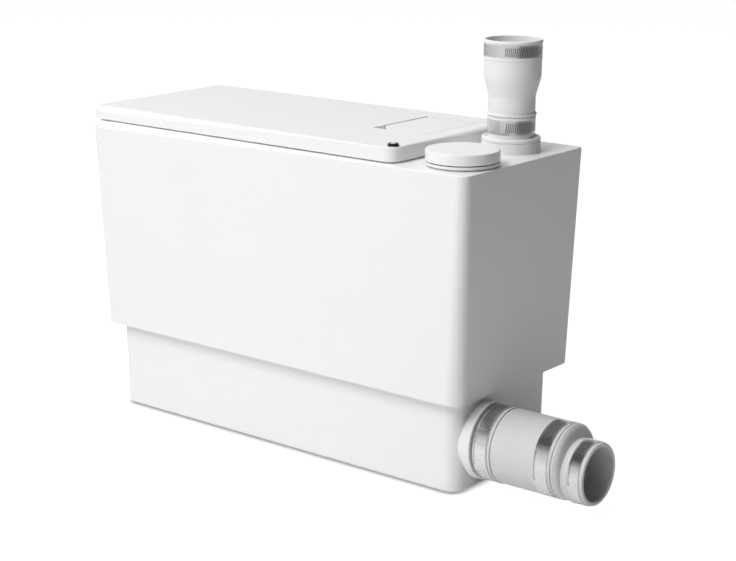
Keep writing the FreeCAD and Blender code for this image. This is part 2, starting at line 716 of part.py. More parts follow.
def housing_holes():
    holes = [seal_ring(RUN)]
    holes.append(rod(INLET_BORE_R, INLET_RING_HEIGHT + DECK_THICKNESS,
                     point(inlet_x, inlet_y, deck_z - DECK_THICKNESS)))
    holes.append(inlet_duct_block(INLET_BORE_R + DUCT_WALL).common(
        block(deck_left, deck_right, deck_front, deck_back, rim_z, floor_z)))
    holes.append(rod(SPIGOT_R + RUN, DECK_THICKNESS,
                     point(discharge_x, discharge_y, deck_z - DECK_THICKNESS)))
    holes.append(rod(SCREW_SHANK_R + THREAD_ROOM, SCREW_POST_DEPTH,
                     point(lid_screw_x, lid_screw_y, deck_z - SCREW_POST_DEPTH)))
    holes.append(rod(plate_r - FLOOR_OPENING_INSET, FLOOR_THICKNESS, point(motor_x, motor_y, rim_z)))
    holes.append(rod(VENT_R, FLOOR_THICKNESS, point(vent_x, vent_y, rim_z)))
    holes.append(rod(OUTLET_R + GROMMET_WALL, FLOOR_THICKNESS, point(discharge_x, discharge_y, rim_z)))
    holes.append(rod(NIPPLE_R + GAP, FLOOR_THICKNESS, point(switch_x, SWITCH_Y, rim_z)))
    for x, y in tank_screw_places():
        holes.append(rod(TANK_SCREW_R + THREAD_ROOM, FLOOR_THICKNESS, point(x, y, rim_z)))
    holes.extend(plate_screw_rods(PLATE_SCREW_R, FLOOR_THICKNESS, rim_z))
    holes.append(rod(GLAND_THREAD_R + RUN, GLAND_INSIDE,
                     point(gland_x, gland_pad_y - GLAND_INSIDE, gland_z), BACK))
    return holes


def lid_gasket():
    ring = opening_block(CURB_WIDTH, curb_top_z, curb_top_z + GASKET_HEIGHT)
    return ring.cut(opening_block(0.0, curb_top_z, curb_top_z + GASKET_HEIGHT))


def hatch_recess(grow, z0, z1):
    """Upright room round the hatch, with its gap and an extra margin."""
    margin = HATCH_GAP + grow
    return block(hatch_left - margin, hatch_right + margin, hatch_front - margin, hatch_back + margin, z0, z1)


def notch_prism(grow, z0, z1):
    """Triangular corner of the hatch that is left open for a finger."""
    x0 = hatch_left - HATCH_GAP
    y0 = hatch_front - HATCH_GAP
    corners = [point(x0, y0, z0), point(x0 + NOTCH_LENGTH + grow, y0, z0),
               point(x0, y0 + NOTCH_WIDTH + grow, z0)]
    face = Part.Face(Part.makePolygon(corners + corners[:1]))
    return face.extrude(point(0, 0, z1 - z0))


def lid():
    plate = rounded_block(lid_left, lid_right, lid_front, lid_back, LID_CORNER, lid_z, lid_top_z)
    plate = round_top_edges(plate, lid_top_z, lambda p: LID_END_ROUND if near(p.x, lid_right) else LID_ROUND)
    outer = plate.copy()
    plate = plate.cut(rounded_block(lid_left + LID_SKIRT, lid_right - LID_SKIRT, lid_front + LID_SKIRT,
                                    lid_back - LID_SKIRT, LID_CORNER - LID_SKIRT, lid_z, lid_inside_z))
    sleeve = rod(SCREW_HEAD_R + HATCH_GAP, LID_HEIGHT, point(lid_screw_x, lid_screw_y, lid_z)).common(outer)
    tray = hatch_recess(TRAY_WALL, tray_floor_z, lid_inside_z)
    whole = joined([plate, sleeve, tray])
    whole = whole.cut(hatch_recess(0.0, tray_floor_z + TRAY_WALL, lid_top_z))
    ledge = hatch_recess(0.0, ledge_z - LEDGE_HEIGHT, ledge_z).cut(
        block(hatch_left + LEDGE_WIDTH, hatch_right + HATCH_GAP, hatch_front + LEDGE_WIDTH,
              hatch_back - LEDGE_WIDTH, ledge_z - LEDGE_HEIGHT, ledge_z))
    hinge_room_x = hinge_x - HINGE_BARREL_R - GAP - HINGE_PIN_R
    ledge = ledge.cut(block(hinge_room_x, hatch_right + HATCH_GAP, hatch_front, hatch_back,
                            ledge_z - LEDGE_HEIGHT, ledge_z))
    notch_floor = notch_prism(LEDGE_WIDTH, lid_top_z - NOTCH_DEPTH - LEDGE_HEIGHT, lid_top_z - NOTCH_DEPTH)
    whole = joined([whole, ledge, notch_floor])
    holes = [notch_prism(0.0, lid_top_z - NOTCH_DEPTH, lid_top_z)]
    holes.append(rod(TRAY_VENT_R, TRAY_WALL, point(vent_x, vent_y, tray_floor_z)))
    holes.append(rod(SCREW_SHANK_R + RUN, LID_HEIGHT, point(lid_screw_x, lid_screw_y, lid_z)))
    holes.append(rod(SCREW_HEAD_R + RUN, SCREW_SEAT_DEPTH,
                     point(lid_screw_x, lid_screw_y, lid_top_z - SCREW_SEAT_DEPTH)))
    holes.append(hatch_pin_rod(HINGE_PIN_R + RUN))
    return whole.cut(Part.makeCompound(holes))


def hatch_pin_rod(radius):
    length = hatch_back - hatch_front + 2 * (HATCH_GAP + HINGE_PIN_SEAT)
    return rod(radius, length, point(hinge_x, hatch_front - HATCH_GAP - HINGE_PIN_SEAT, hinge_z), BACK)


def filter_hatch():
    plate = block(hatch_left, hatch_right, hatch_front, hatch_back, hatch_bottom_z, lid_top_z)
    right_edges = edges_near(plate, lambda p: near(p.x, hatch_right) and
                             (near(p.z, lid_top_z) or near(p.z, hatch_bottom_z)))
    plate = plate.makeFillet(HATCH_EDGE_ROUND, right_edges)
    barrel = rod(HINGE_BARREL_R, hatch_back - hatch_front, point(hinge_x, hatch_front, hinge_z), BACK)
    whole = joined([plate, barrel])
    whole = whole.cut(notch_prism(0.0, hatch_bottom_z, lid_top_z))
    return whole.cut(hatch_pin_rod(HINGE_PIN_R + RUN))


def filter_cartridge():
    side = LEDGE_WIDTH + FILTER_ROOM
    top_z = ledge_z - LEDGE_HEIGHT - FILTER_ROOM
    body = block(hatch_left + side, hinge_x - HINGE_BARREL_R - side, hatch_front + side, hatch_back - side,
                 tray_floor_z + TRAY_WALL, top_z)
    body = body.cut(notch_prism(LEDGE_WIDTH + side, tray_floor_z, lid_top_z))
    return body.makeFillet(FILTER_ROOM, edges_near(body, lambda p: near(p.z, top_z)))


def lid_screw():
    """Round-headed screw with a hexagon socket."""
    seat = point(lid_screw_x, lid_screw_y, lid_top_z - SCREW_SEAT_DEPTH)
    head = rod(SCREW_HEAD_R, SCREW_HEAD_HEIGHT, seat)
    top = edges_near(head, lambda p: near(p.z, seat.z + SCREW_HEAD_HEIGHT))
    head = head.makeFillet(SCREW_HEAD_ROUND, top)
    shank = rod(SCREW_SHANK_R, SCREW_LENGTH, seat, DOWN)
    socket_depth = SCREW_HEAD_HEIGHT / 2
    socket = hexagon(SCREW_SHANK_R, socket_depth, seat + point(0, 0, SCREW_HEAD_HEIGHT - socket_depth))
    return joined([head, shank]).cut(socket)


def vent_duct():
    foot = point(vent_x, vent_y, rim_z)
    return tube(VENT_R, VENT_R - VENT_WALL, tray_floor_z - GAP - rim_z, foot)


def inlet_duct():
    duct = inlet_duct_block(INLET_BORE_R + DUCT_WALL)
    return duct.cut(inlet_duct_block(INLET_BORE_R))


def inlet_cap():
    base_z = deck_z + INLET_RING_HEIGHT + CAP_SEAL_HEIGHT
    disc = rod(CAP_R, CAP_HEIGHT, point(inlet_x, inlet_y, base_z))
    disc = disc.makeFillet(CAP_ROUND, edges_near(disc, lambda p: near(p.z, base_z + CAP_HEIGHT)))
    plug_z = base_z - CAP_PLUG_DEPTH - CAP_SEAL_HEIGHT
    plug = rod(INLET_BORE_R - GAP, base_z - plug_z, point(inlet_x, inlet_y, plug_z))
    hollow_r = INLET_BORE_R - GAP - CAP_WALL
    hollow = rod(hollow_r, base_z - plug_z + CAP_HEIGHT - CAP_WALL, point(inlet_x, inlet_y, plug_z))
    return joined([disc, plug]).cut(hollow)


def cap_seal():
    base = point(inlet_x, inlet_y, deck_z + INLET_RING_HEIGHT)
    return tube(INLET_RING_R - CAP_SEAL_INSET, INLET_BORE_R - GAP, CAP_SEAL_HEIGHT, base)


def discharge_collar():
    groove_z = COLLAR_HEIGHT - COLLAR_RING
    dish_z = COLLAR_HEIGHT - COLLAR_DISH_DEPTH
    lip = COLLAR_GROOVE
    profile = [(SPIGOT_R + RUN, 0), (COLLAR_BASE_R, 0), (COLLAR_R, groove_z - lip),
               (COLLAR_R - lip, groove_z - lip), (COLLAR_R - lip, groove_z), (COLLAR_R, groove_z),
               (COLLAR_R, COLLAR_HEIGHT - lip), (COLLAR_R - lip, COLLAR_HEIGHT),
               (COLLAR_DISH_R + lip, COLLAR_HEIGHT), (COLLAR_DISH_R, COLLAR_HEIGHT - lip),
               (COLLAR_DISH_R, dish_z), (SPIGOT_R + RUN, dish_z)]
    return turned(profile, point(discharge_x, discharge_y, deck_z))


def discharge_coupling():
    foot = COLLAR_HEIGHT - COLLAR_DISH_DEPTH
    bore_start = COUPLING_TOP - COUPLING_BORE_LENGTH
    flange_start = BELL_CLAMP_TOP + FLANGE_WAIST_LENGTH
    profile = [(SPIGOT_R, foot), (CUFF_R, foot), (CUFF_R, CUFF_CLAMP_HIGH), (CUFF_RING_R, CUFF_CLAMP_HIGH),
               (CUFF_RING_R, CUFF_RING_TOP), (CUFF_LIP_R, CUFF_RING_TOP), (CUFF_LIP_R, CUFF_LIP_TOP),
               (NECK_R, CUFF_LIP_TOP), (NECK_R, NECK_TOP), (BELL_R, BELL_START), (BELL_R, BELL_END),
               (BELL_LIP_R, BELL_END), (BELL_LIP_R, BELL_LIP_TOP), (BELL_SEAT_R, BELL_LIP_TOP),
               (BELL_SEAT_R, BELL_CLAMP_TOP), (FLANGE_WAIST_R, BELL_CLAMP_TOP),
               (FLANGE_WAIST_R, flange_start), (FLANGE_R, flange_start),
               (FLANGE_R, COUPLING_TOP), (COUPLING_BORE_R, COUPLING_TOP), (COUPLING_BORE_R, bore_start),
               (COUPLING_WAIST_R, NECK_TOP), (COUPLING_WAIST_R, SPIGOT_REACH), (SPIGOT_R, SPIGOT_REACH)]
    return turned(profile, point(discharge_x, discharge_y, deck_z))


def clamp_places():
    """Each clamp: band radius, width, start of the band, axis and the angle of its worm drive."""
    upright = point(discharge_x, discharge_y, deck_z)
    near_start = point(sleeve_x + RUN, side_y, side_z)
    far_start = point(tank_right + END_BAND_START + RUN, side_y, side_z)
    small_start = point(adapter_seat_x + ADAPTER_BAND_START, side_y, outlet_z)
    return {
        "upper": (BELL_SEAT_R, BELL_CLAMP_TOP - BELL_LIP_TOP, upright + point(0, 0, BELL_LIP_TOP),
                  UP, UPRIGHT_WORM_ANGLE),
        "lower": (CUFF_R, CUFF_CLAMP_HIGH - CUFF_CLAMP_LOW, upright + point(0, 0, CUFF_CLAMP_LOW),
                  UP, UPRIGHT_WORM_ANGLE),
        "near": (sleeve_seat_r, SIDE_BAND_WIDTH, near_start, RIGHT, SIDE_WORM_ANGLE),
        "far": (sleeve_end_seat_r, SIDE_BAND_WIDTH, far_start, RIGHT, SIDE_WORM_ANGLE),
        "small": (ADAPTER_SEAT_R, ADAPTER_BAND_WIDTH, small_start, RIGHT, SIDE_WORM_ANGLE),
    }


def clamp_bands(names):
    bands = []
    for name in names:
        radius, width, start, axis, _ = clamp_places()[name]
        inside = radius + BAND_ROOM
        bands.append(tube(inside + BAND_THICKNESS, inside, width, start, axis))
    return Part.makeCompound(bands)


def worm_frame(axis, angle):
    """Outward and sideways directions of a worm drive on a band with the given axis."""
    turn = math.radians(angle)
    if axis == UP:
        outward = point(math.cos(turn), math.sin(turn), 0)
    else:
        outward = point(0, math.cos(turn), math.sin(turn))
    return outward, axis.cross(outward)


def worm_housing(name):
    radius, width, start, axis, angle = clamp_places()[name]
    outward, sideways = worm_frame(axis, angle)
    body = Part.makeBox(WORM_HEIGHT + WORM_SINK, WORM_LENGTH, width - 2 * WORM_MARGIN,
                        point(radius - WORM_SINK, -WORM_LENGTH / 2, WORM_MARGIN))
    top = [edge for edge in body.Edges if near(edge.CenterOfMass.x, radius + WORM_HEIGHT)
           and near(edge.CenterOfMass.y, 0)]
    body = body.makeFillet(WORM_SCREW_R, top)
    placement = FreeCAD.Placement(start, FreeCAD.Rotation(outward, sideways, axis, "ZXY"))
    body.Placement = placement
    band = rod(radius + BAND_ROOM + BAND_THICKNESS, width, start, axis)
    return body.cut(band).cut(worm_screw_core(name, WORM_SCREW_R + RUN))


def worm_screw_core(name, core):
    radius, width, start, axis, angle = clamp_places()[name]
    outward, sideways = worm_frame(axis, angle)
    middle = start + axis * (width / 2) + outward * (radius + BAND_THICKNESS + WORM_HEIGHT / 2)
    return rod(core, WORM_LENGTH + 2 * WORM_TAIL, middle - sideways * (WORM_LENGTH / 2 + WORM_TAIL), sideways)


def worm_screw(name):
    radius, width, start, axis, angle = clamp_places()[name]
    outward, sideways = worm_frame(axis, angle)
    middle = start + axis * (width / 2) + outward * (radius + BAND_THICKNESS + WORM_HEIGHT / 2)
    head = hexagon(WORM_HEAD_R, WORM_HEAD_LENGTH, middle + sideways * (WORM_LENGTH / 2 + RUN), sideways)
    return joined([worm_screw_core(name, WORM_SCREW_R), head])


def side_spigot():
    start = point(side_spigot_x, side_y, side_z)
    length = TANK_WALL + SIDE_SPIGOT_INSIDE + SIDE_SPIGOT_REACH
    pipe = rod(side_spigot_r, length, start, RIGHT)
    reach = SIDE_SPIGOT_INSIDE - GAP - TANK_DRAFT / 2
    ears = []
    ear_end_x = start.x + reach
    for side in (-1, 1):
        y = side_y + side * (FLAP_BARREL_HALF + GAP + FLAP_EAR_WIDTH / 2) - FLAP_EAR_WIDTH / 2
        ears.append(rod(FLAP_EAR_R, FLAP_EAR_WIDTH, point(flap_pin_x, y, flap_pin_z), BACK))
        ears.append(block(flap_pin_x, ear_end_x, y, y + FLAP_EAR_WIDTH,
                          flap_pin_z - FLAP_EAR_R, flap_pin_z + FLAP_EAR_R))
        ears.append(block(start.x, ear_end_x, y, y + FLAP_EAR_WIDTH, side_z, flap_pin_z))
    pipe = joined([pipe] + ears)
    pipe = pipe.cut(rod(side_bore_r, length, start, RIGHT))
    return pipe.cut(flap_pin_rod(FLAP_PIN_R + RUN))


def flap_pin_rod(radius):
    return rod(radius, 2 * FLAP_PIN_HALF, point(flap_pin_x, side_y - FLAP_PIN_HALF, flap_pin_z), BACK)


def inlet_flap():
    """Disc that hangs in front of the side inlet's inner end and keeps water in the tank."""
    disc_x = flap_pin_x - FLAP_THICKNESS / 2
    disc = rod(side_spigot_r - FLAP_INSET, FLAP_THICKNESS, point(disc_x, side_y, side_z), RIGHT)
    arm = block(disc_x, disc_x + FLAP_THICKNESS, side_y - FLAP_BARREL_HALF,
                side_y + FLAP_BARREL_HALF, side_z, flap_pin_z)
    barrel_start = point(flap_pin_x, side_y - FLAP_BARREL_HALF, flap_pin_z)
    barrel = rod(FLAP_BARREL_R, 2 * FLAP_BARREL_HALF, barrel_start, BACK)
    return joined([disc, arm, barrel]).cut(flap_pin_rod(FLAP_PIN_R + RUN))


def inlet_sleeve():
    end = SLEEVE_END - SLEEVE_START
    band_end = SIDE_BAND_WIDTH + 2 * RUN
    bead = SLEEVE_BEAD_START - SLEEVE_START
    far_band = END_BAND_START - SLEEVE_START
    wall_r = side_spigot_r + SLEEVE_WALL
    bead_r = side_spigot_r + SLEEVE_BEAD_WALL
    profile = [(side_spigot_r, 0), (sleeve_seat_r, 0), (sleeve_seat_r, band_end), (wall_r, band_end),
               (wall_r, bead), (bead_r, bead), (bead_r, bead + SLEEVE_BEAD_LENGTH),
               (wall_r, bead + SLEEVE_BEAD_LENGTH), (wall_r, far_band), (sleeve_end_seat_r, far_band),
               (sleeve_end_seat_r, end), (side_spigot_r, end)]
    return turned(profile, point(sleeve_x, side_y, side_z), RIGHT)


def adapter_circle(x, radius, drop):
    return Part.Wire(Part.makeCircle(radius, point(x, side_y, side_z - drop), RIGHT))


def adapter_shoulder():
    """Rounded shoulder that swings from the large end to the lower small end."""
    circles = []
    for step in range(ADAPTER_ROUND_STEPS + 1):
        turn = QUARTER_TURN * step / ADAPTER_ROUND_STEPS
        share = math.cos(turn)
        radius = ADAPTER_SEAT_R + (adapter_shoulder_r - ADAPTER_SEAT_R) * share
        circles.append(adapter_circle(adapter_round_x + ADAPTER_ROUND_LENGTH * math.sin(turn), radius,
                                      outlet_drop * (1 - share)))
    return Part.makeLoft(circles, True, False)


def inlet_adapter():
    male = rod(side_spigot_r, adapter_lip_x - tank_right - ADAPTER_MALE_START,
               point(tank_right + ADAPTER_MALE_START, side_y, side_z), RIGHT)
    core = rod(adapter_shoulder_r, ADAPTER_LIP_LENGTH, point(adapter_lip_x, side_y, side_z), RIGHT)
    lips = [rod(side_spigot_r + ADAPTER_LIP_WALL, ADAPTER_LIP_RING, point(x, side_y, side_z), RIGHT)
            for x in (adapter_lip_x, adapter_round_x - ADAPTER_LIP_RING)]
    bead_x = adapter_seat_x + ADAPTER_BAND_START - ADAPTER_BEAD_LENGTH - RUN
    bead = rod(ADAPTER_SEAT_R + ADAPTER_BEAD_RISE, ADAPTER_BEAD_LENGTH,
               point(bead_x, side_y, outlet_z), RIGHT)
    seat = rod(ADAPTER_SEAT_R, adapter_end_x - ADAPTER_RIM_LENGTH - adapter_seat_x,
               point(adapter_seat_x, side_y, outlet_z), RIGHT)
    rim = rod(ADAPTER_RIM_R, ADAPTER_RIM_LENGTH, point(adapter_end_x - ADAPTER_RIM_LENGTH, side_y, outlet_z),
              RIGHT)
    rim = rim.makeFillet(ADAPTER_RIM_ROUND, edges_near(rim, lambda p: near(p.x, adapter_end_x)))
    body = joined([male, core, adapter_shoulder(), seat, bead, rim] + lips)
    bore_x = adapter_end_x - ADAPTER_BORE_LENGTH
    male_x = tank_right + ADAPTER_MALE_START
    step = Part.makeLoft([adapter_circle(adapter_lip_x, side_bore_r, 0.0),
                          adapter_circle(bore_x, ADAPTER_BORE_R, outlet_drop)], True, True)
    body = body.cut(rod(side_bore_r, adapter_lip_x - male_x, point(male_x, side_y, side_z), RIGHT))
    body = body.cut(step)
    return body.cut(rod(ADAPTER_BORE_R, ADAPTER_BORE_LENGTH, point(bore_x, side_y, outlet_z), RIGHT))


def tank_screws():
    screws = []
    for x, y in tank_screw_places():
        head = rod(TANK_SCREW_HEAD_R, TANK_SCREW_HEAD_HEIGHT, point(x, y, floor_z))
        shank = rod(TANK_SCREW_R, FLOOR_THICKNESS + TANK_BOSS_HEIGHT / 2, point(x, y, floor_z), DOWN)
        screws.append(joined([head, shank]))
    return Part.makeCompound(screws)


def on_motor(z):
    return point(motor_x, motor_y, z)


def motor_plate_gasket():
    ring = tube(plate_r, plate_r - PLATE_GASKET_WIDTH, PLATE_GASKET, on_motor(floor_z))
    holes = plate_screw_rods(PLATE_SCREW_R + RUN, PLATE_GASKET, floor_z)
    return ring.cut(Part.makeCompound(holes))


def plate_screw_rods(radius, length, z):
    one = rod(radius, length, point(motor_x + plate_screw_circle_r, motor_y, z))
    return ring_of(one, PLATE_SCREWS, on_motor(0))


def motor_plate():
    """Base plate with the bearing hub above it and the neck down to the pump below it."""
    disc = rod(plate_r, PLATE_THICKNESS, on_motor(plate_z))
    hub = rod(BEARING_HUB_R, BEARING_HUB_HEIGHT, on_motor(plate_top_z))
    neck = rod(NECK_OUT_R, plate_z - volute_top_z, on_motor(volute_top_z))
    body = joined([disc, hub, neck])
    body = body.cut(rod(NECK_OUT_R - NECK_WALL, plate_z - volute_top_z, on_motor(volute_top_z)))
    body = body.cut(rod(SHAFT_R + GAP, PLATE_THICKNESS, on_motor(plate_z)))
    body = body.cut(rod(BEARING_OUT_R, BEARING_HUB_HEIGHT, on_motor(plate_top_z)))
    return body.cut(Part.makeCompound(plate_screw_rods(PLATE_SCREW_R + RUN, PLATE_THICKNESS, plate_z)))


def motor_plate_screws():
    screws = []
    heads = plate_screw_rods(PLATE_SCREW_HEAD_R, PLATE_SCREW_HEAD_HEIGHT, plate_top_z)
    shanks = plate_screw_rods(PLATE_SCREW_R, PLATE_SCREW_LENGTH, plate_top_z - PLATE_SCREW_LENGTH)
    for head, shank in zip(heads, shanks):
        screws.append(joined([head, shank]))
    return Part.makeCompound(screws)


def cap_screw_rods(radius, length, z):
    one = rod(radius, length, point(motor_x + cap_screw_circle_r, motor_y, z))
    return ring_of(one, CAP_SCREWS, on_motor(0), 180.0 / CAP_SCREWS)


def motor_housing():
    can = tube(can_r, can_r - CAN_WALL, CAN_HEIGHT, on_motor(plate_top_z))
    posts = cap_screw_rods(CAN_POST_R, CAN_POST_HEIGHT, can_top_z - CAN_POST_HEIGHT)
    pilot_holes = cap_screw_rods(CAP_SCREW_R, CAN_POST_HEIGHT, can_top_z - CAN_POST_HEIGHT)
    return joined([can] + posts).cut(Part.makeCompound(pilot_holes))


def motor_cap():
    plate = rod(can_r, CAP_PLATE, on_motor(can_top_z))
    dome = rod(can_r - CAP_RIM, CAP_RIM, on_motor(can_top_z))
    dome = dome.makeFillet(CAP_DOME_ROUND, edges_near(dome, lambda p: near(p.z, can_top_z + CAP_RIM)))
    dome = dome.cut(rod(can_r - CAP_RIM, CAP_RIM, on_motor(can_top_z)).common(
        Part.makeCompound(cap_screw_rods(CAP_SCREW_HEAD_R + GAP, CAP_RIM, can_top_z + CAP_PLATE))))
    hub = rod(TOP_HUB_R, TOP_HUB_HEIGHT - CAP_PLATE, on_motor(top_bearing_z))
    body = joined([plate, dome, hub])
    body = body.cut(rod(TOP_BEARING_R, TOP_BEARING_WIDTH, on_motor(top_bearing_z)))
    body = body.cut(rod(SHAFT_TOP_R + GAP, TOP_BEARING_WIDTH + GAP, on_motor(top_bearing_z)))
    return body.cut(Part.makeCompound(cap_screw_rods(CAP_SCREW_R + RUN, CAP_PLATE, can_top_z)))


def motor_cap_screws():
    screws = []
    heads = cap_screw_rods(CAP_SCREW_HEAD_R, CAP_SCREW_HEAD_HEIGHT, can_top_z + CAP_PLATE)
    shanks = cap_screw_rods(CAP_SCREW_R, CAP_SCREW_LENGTH, can_top_z + CAP_PLATE - CAP_SCREW_LENGTH)
    for head, shank in zip(heads, shanks):
        screws.append(joined([head, shank]))
    return Part.makeCompound(screws)


def slot_bars(room, z0, height):
    width = SLOT_WIDTH - 2 * room
    bar = block(motor_x + slot_start_r + room, motor_x + slot_end_r - room, motor_y - width / 2,
                motor_y + width / 2, z0, z0 + height)
    return ring_of(bar, STATOR_SLOTS, on_motor(0))


def stator_core():
    ring = tube(can_r - CAN_WALL, stator_bore_r, STATOR_HEIGHT, on_motor(stator_z))
    return ring.cut(Part.makeCompound(slot_bars(0.0, stator_z, STATOR_HEIGHT)))


def stator_windings():
    """Copper in the slots, joined by the end turns above and below the core."""
    low = stator_z - WINDING_HEIGHT - WINDING_ROOM
    high = stator_z + STATOR_HEIGHT + WINDING_ROOM
    rings = []
    for z in (low, high):
        ring = tube(slot_end_r, slot_start_r, WINDING_HEIGHT, on_motor(z))
        rings.append(ring.makeFillet(WINDING_ROUND, [e for e in ring.Edges if len(e.Vertexes) == 1]))
    bars = slot_bars(WINDING_ROOM, low + WINDING_HEIGHT / 2, high - low)
    return joined(rings + bars)


def lower_bearing():
    return tube(BEARING_OUT_R, SHAFT_R + RUN, BEARING_WIDTH, on_motor(plate_top_z))


def upper_bearing():
    return tube(TOP_BEARING_R, SHAFT_TOP_R + RUN, TOP_BEARING_WIDTH, on_motor(top_bearing_z))


def shaft_seal():
    """Seal ring in the pump's neck, pressed on the volute's top."""
    return tube(SEAL_R, SHAFT_R + RUN, SEAL_LENGTH, on_motor(volute_top_z))


def shaft():
    low = impeller_top_z - IMPELLER_HUB_HEIGHT - IMPELLER_NUT_HEIGHT
    step = top_bearing_z - GAP
    lower = rod(SHAFT_R, step - low, on_motor(low))
    upper = rod(SHAFT_TOP_R, GAP + TOP_BEARING_WIDTH, on_motor(step))
    return joined([lower, upper])


def rotor_core():
    return tube(stator_bore_r - AIR_GAP, SHAFT_R, STATOR_HEIGHT, on_motor(stator_z))


def impeller():
    """Half-open wheel: a disc with a hub and swept vanes under it."""
    top = impeller_top_z
    disc = rod(IMPELLER_R, IMPELLER_DISC, on_motor(top - IMPELLER_DISC))
    hub = rod(IMPELLER_HUB_R, IMPELLER_HUB_HEIGHT, on_motor(top - IMPELLER_HUB_HEIGHT))
    vanes = ring_of(vane(top - IMPELLER_DISC - VANE_HEIGHT, VANE_HEIGHT + IMPELLER_DISC / 2),
                    IMPELLER_VANES, on_motor(0))
    body = joined([disc, hub] + vanes)
    return body.cut(rod(SHAFT_R, IMPELLER_HUB_HEIGHT, on_motor(top - IMPELLER_HUB_HEIGHT)))


def vane(z, height):
    """Curved blade between the hub and the rim."""
    start = IMPELLER_HUB_R - VANE_SINK
    reach = IMPELLER_R - VANE_RIM - start
    sides = []
    for offset in (-VANE_THICKNESS / 2, VANE_THICKNESS / 2):
        points = []
        for share in (0.0, 0.5, 1.0):
            radius = start + reach * share
            turn = math.radians(VANE_SWEEP * share) + offset / radius
            points.append(point(motor_x + radius * math.cos(turn), motor_y + radius * math.sin(turn), z))
        sides.append(points)
    inner, outer = sides
    edges = [Part.Arc(inner[0], inner[1], inner[2]).toShape(), Part.LineSegment(inner[2], outer[2]).toShape(),
             Part.Arc(outer[2], outer[1], outer[0]).toShape(), Part.LineSegment(outer[0], inner[0]).toShape()]
    return Part.Face(Part.Wire(edges)).extrude(point(0, 0, height))


def impeller_nut():
    low = impeller_top_z - IMPELLER_HUB_HEIGHT - IMPELLER_NUT_HEIGHT
    return hexagon(IMPELLER_NUT_R, IMPELLER_NUT_HEIGHT, on_motor(low)).cut(
        rod(SHAFT_R, IMPELLER_NUT_HEIGHT, on_motor(low)))


def cover_screw_rods(radius, length, z):
    one = rod(radius, length, point(motor_x + COVER_SCREW_CIRCLE_R, motor_y, z))
    return ring_of(one, COVER_SCREWS, on_motor(0), 180.0 / COVER_SCREWS)


def volute():
    """Pump casing under the neck, open below, with its outlet to the right."""
    case = rod(VOLUTE_R, VOLUTE_HEIGHT, on_motor(volute_base_z))
    stub_start = point(motor_x, discharge_y, pipe_z)
    stub = rod(OUTLET_R, OUTLET_LENGTH, stub_start, RIGHT)
    body = joined([case, stub])
    body = body.cut(rod(VOLUTE_CAVITY_R, cavity_top_z - cavity_base_z, on_motor(cavity_base_z)))
    body = body.cut(rod(SUCTION_COVER_R, SUCTION_COVER_THICKNESS, on_motor(volute_base_z)))
    body = body.cut(rod(VOLUTE_SHAFT_HOLE_R, VOLUTE_TOP, on_motor(cavity_top_z)))
    body = body.cut(rod(OUTLET_BORE_R, OUTLET_LENGTH, stub_start, RIGHT))
    return body.cut(Part.makeCompound(cover_screw_rods(COVER_SCREW_R, COVER_SCREW_LENGTH, volute_base_z)))


def suction_cover():
    """Cover of the pump casing with the suction eye and the slotted strainer skirt."""
    slot_z = volute_base_z - STRAINER_HEIGHT
    plate = rod(SUCTION_COVER_R, SUCTION_COVER_THICKNESS, on_motor(volute_base_z))
    skirt = tube(STRAINER_R, STRAINER_R - STRAINER_WALL, STRAINER_HEIGHT, on_motor(slot_z))
    body = joined([plate, skirt])
    body = body.cut(rod(SUCTION_EYE_R, SUCTION_COVER_THICKNESS, on_motor(volute_base_z)))
    slot = block(motor_x + STRAINER_R - 2 * STRAINER_WALL, motor_x + STRAINER_R + STRAINER_WALL,
                 motor_y - STRAINER_SLOT_WIDTH / 2, motor_y + STRAINER_SLOT_WIDTH / 2,
                 slot_z, slot_z + STRAINER_SLOT_HEIGHT)
    body = body.cut(Part.makeCompound(ring_of(slot, STRAINER_SLOTS, on_motor(0))))
    screw_holes = cover_screw_rods(COVER_SCREW_R + RUN, SUCTION_COVER_THICKNESS, volute_base_z)
    return body.cut(Part.makeCompound(screw_holes))


def suction_cover_screws():
    screws = []
    heads = cover_screw_rods(COVER_SCREW_HEAD_R, COVER_SCREW_HEAD_HEIGHT,
                             volute_base_z - COVER_SCREW_HEAD_HEIGHT)
    shanks = cover_screw_rods(COVER_SCREW_R, COVER_SCREW_LENGTH, volute_base_z)
    for head, shank in zip(heads, shanks):
        screws.append(joined([head, shank]))
    return Part.makeCompound(screws)


def pipe_bend(radius):
    """Round bar along the pressure pipe from the pump to the foot of the riser."""
    start = point(motor_x + OUTLET_LENGTH, discharge_y, pipe_z)
    bend = point(discharge_x - ELBOW_RADIUS, discharge_y, pipe_z)
    middle_turn = QUARTER_TURN / 2
    middle = bend + point(ELBOW_RADIUS * math.sin(middle_turn), 0, ELBOW_RADIUS * (1 - math.cos(middle_turn)))
    end = point(discharge_x, discharge_y, pipe_z + ELBOW_RADIUS)
    path = Part.Wire([Part.LineSegment(start, bend).toShape(), Part.Arc(bend, middle, end).toShape()])
    section = Part.Wire(Part.makeCircle(radius, start, RIGHT))
    return path.makePipeShell([section], True, True)


def outlet_elbow():
    start = point(motor_x + OUTLET_LENGTH - SOCKET_LENGTH, discharge_y, pipe_z)
    pipe = pipe_bend(OUTLET_R).cut(pipe_bend(OUTLET_BORE_R))
    socket = tube(OUTLET_R + SOCKET_WALL, OUTLET_R, SOCKET_LENGTH + SOCKET_WALL, start, RIGHT)
    return joined([pipe, socket])


def riser_pipe():
    foot = point(discharge_x, discharge_y, pipe_z + ELBOW_RADIUS)
    return tube(OUTLET_R, OUTLET_BORE_R, valve_z + VALVE_SOCKET_LENGTH - foot.z, foot)


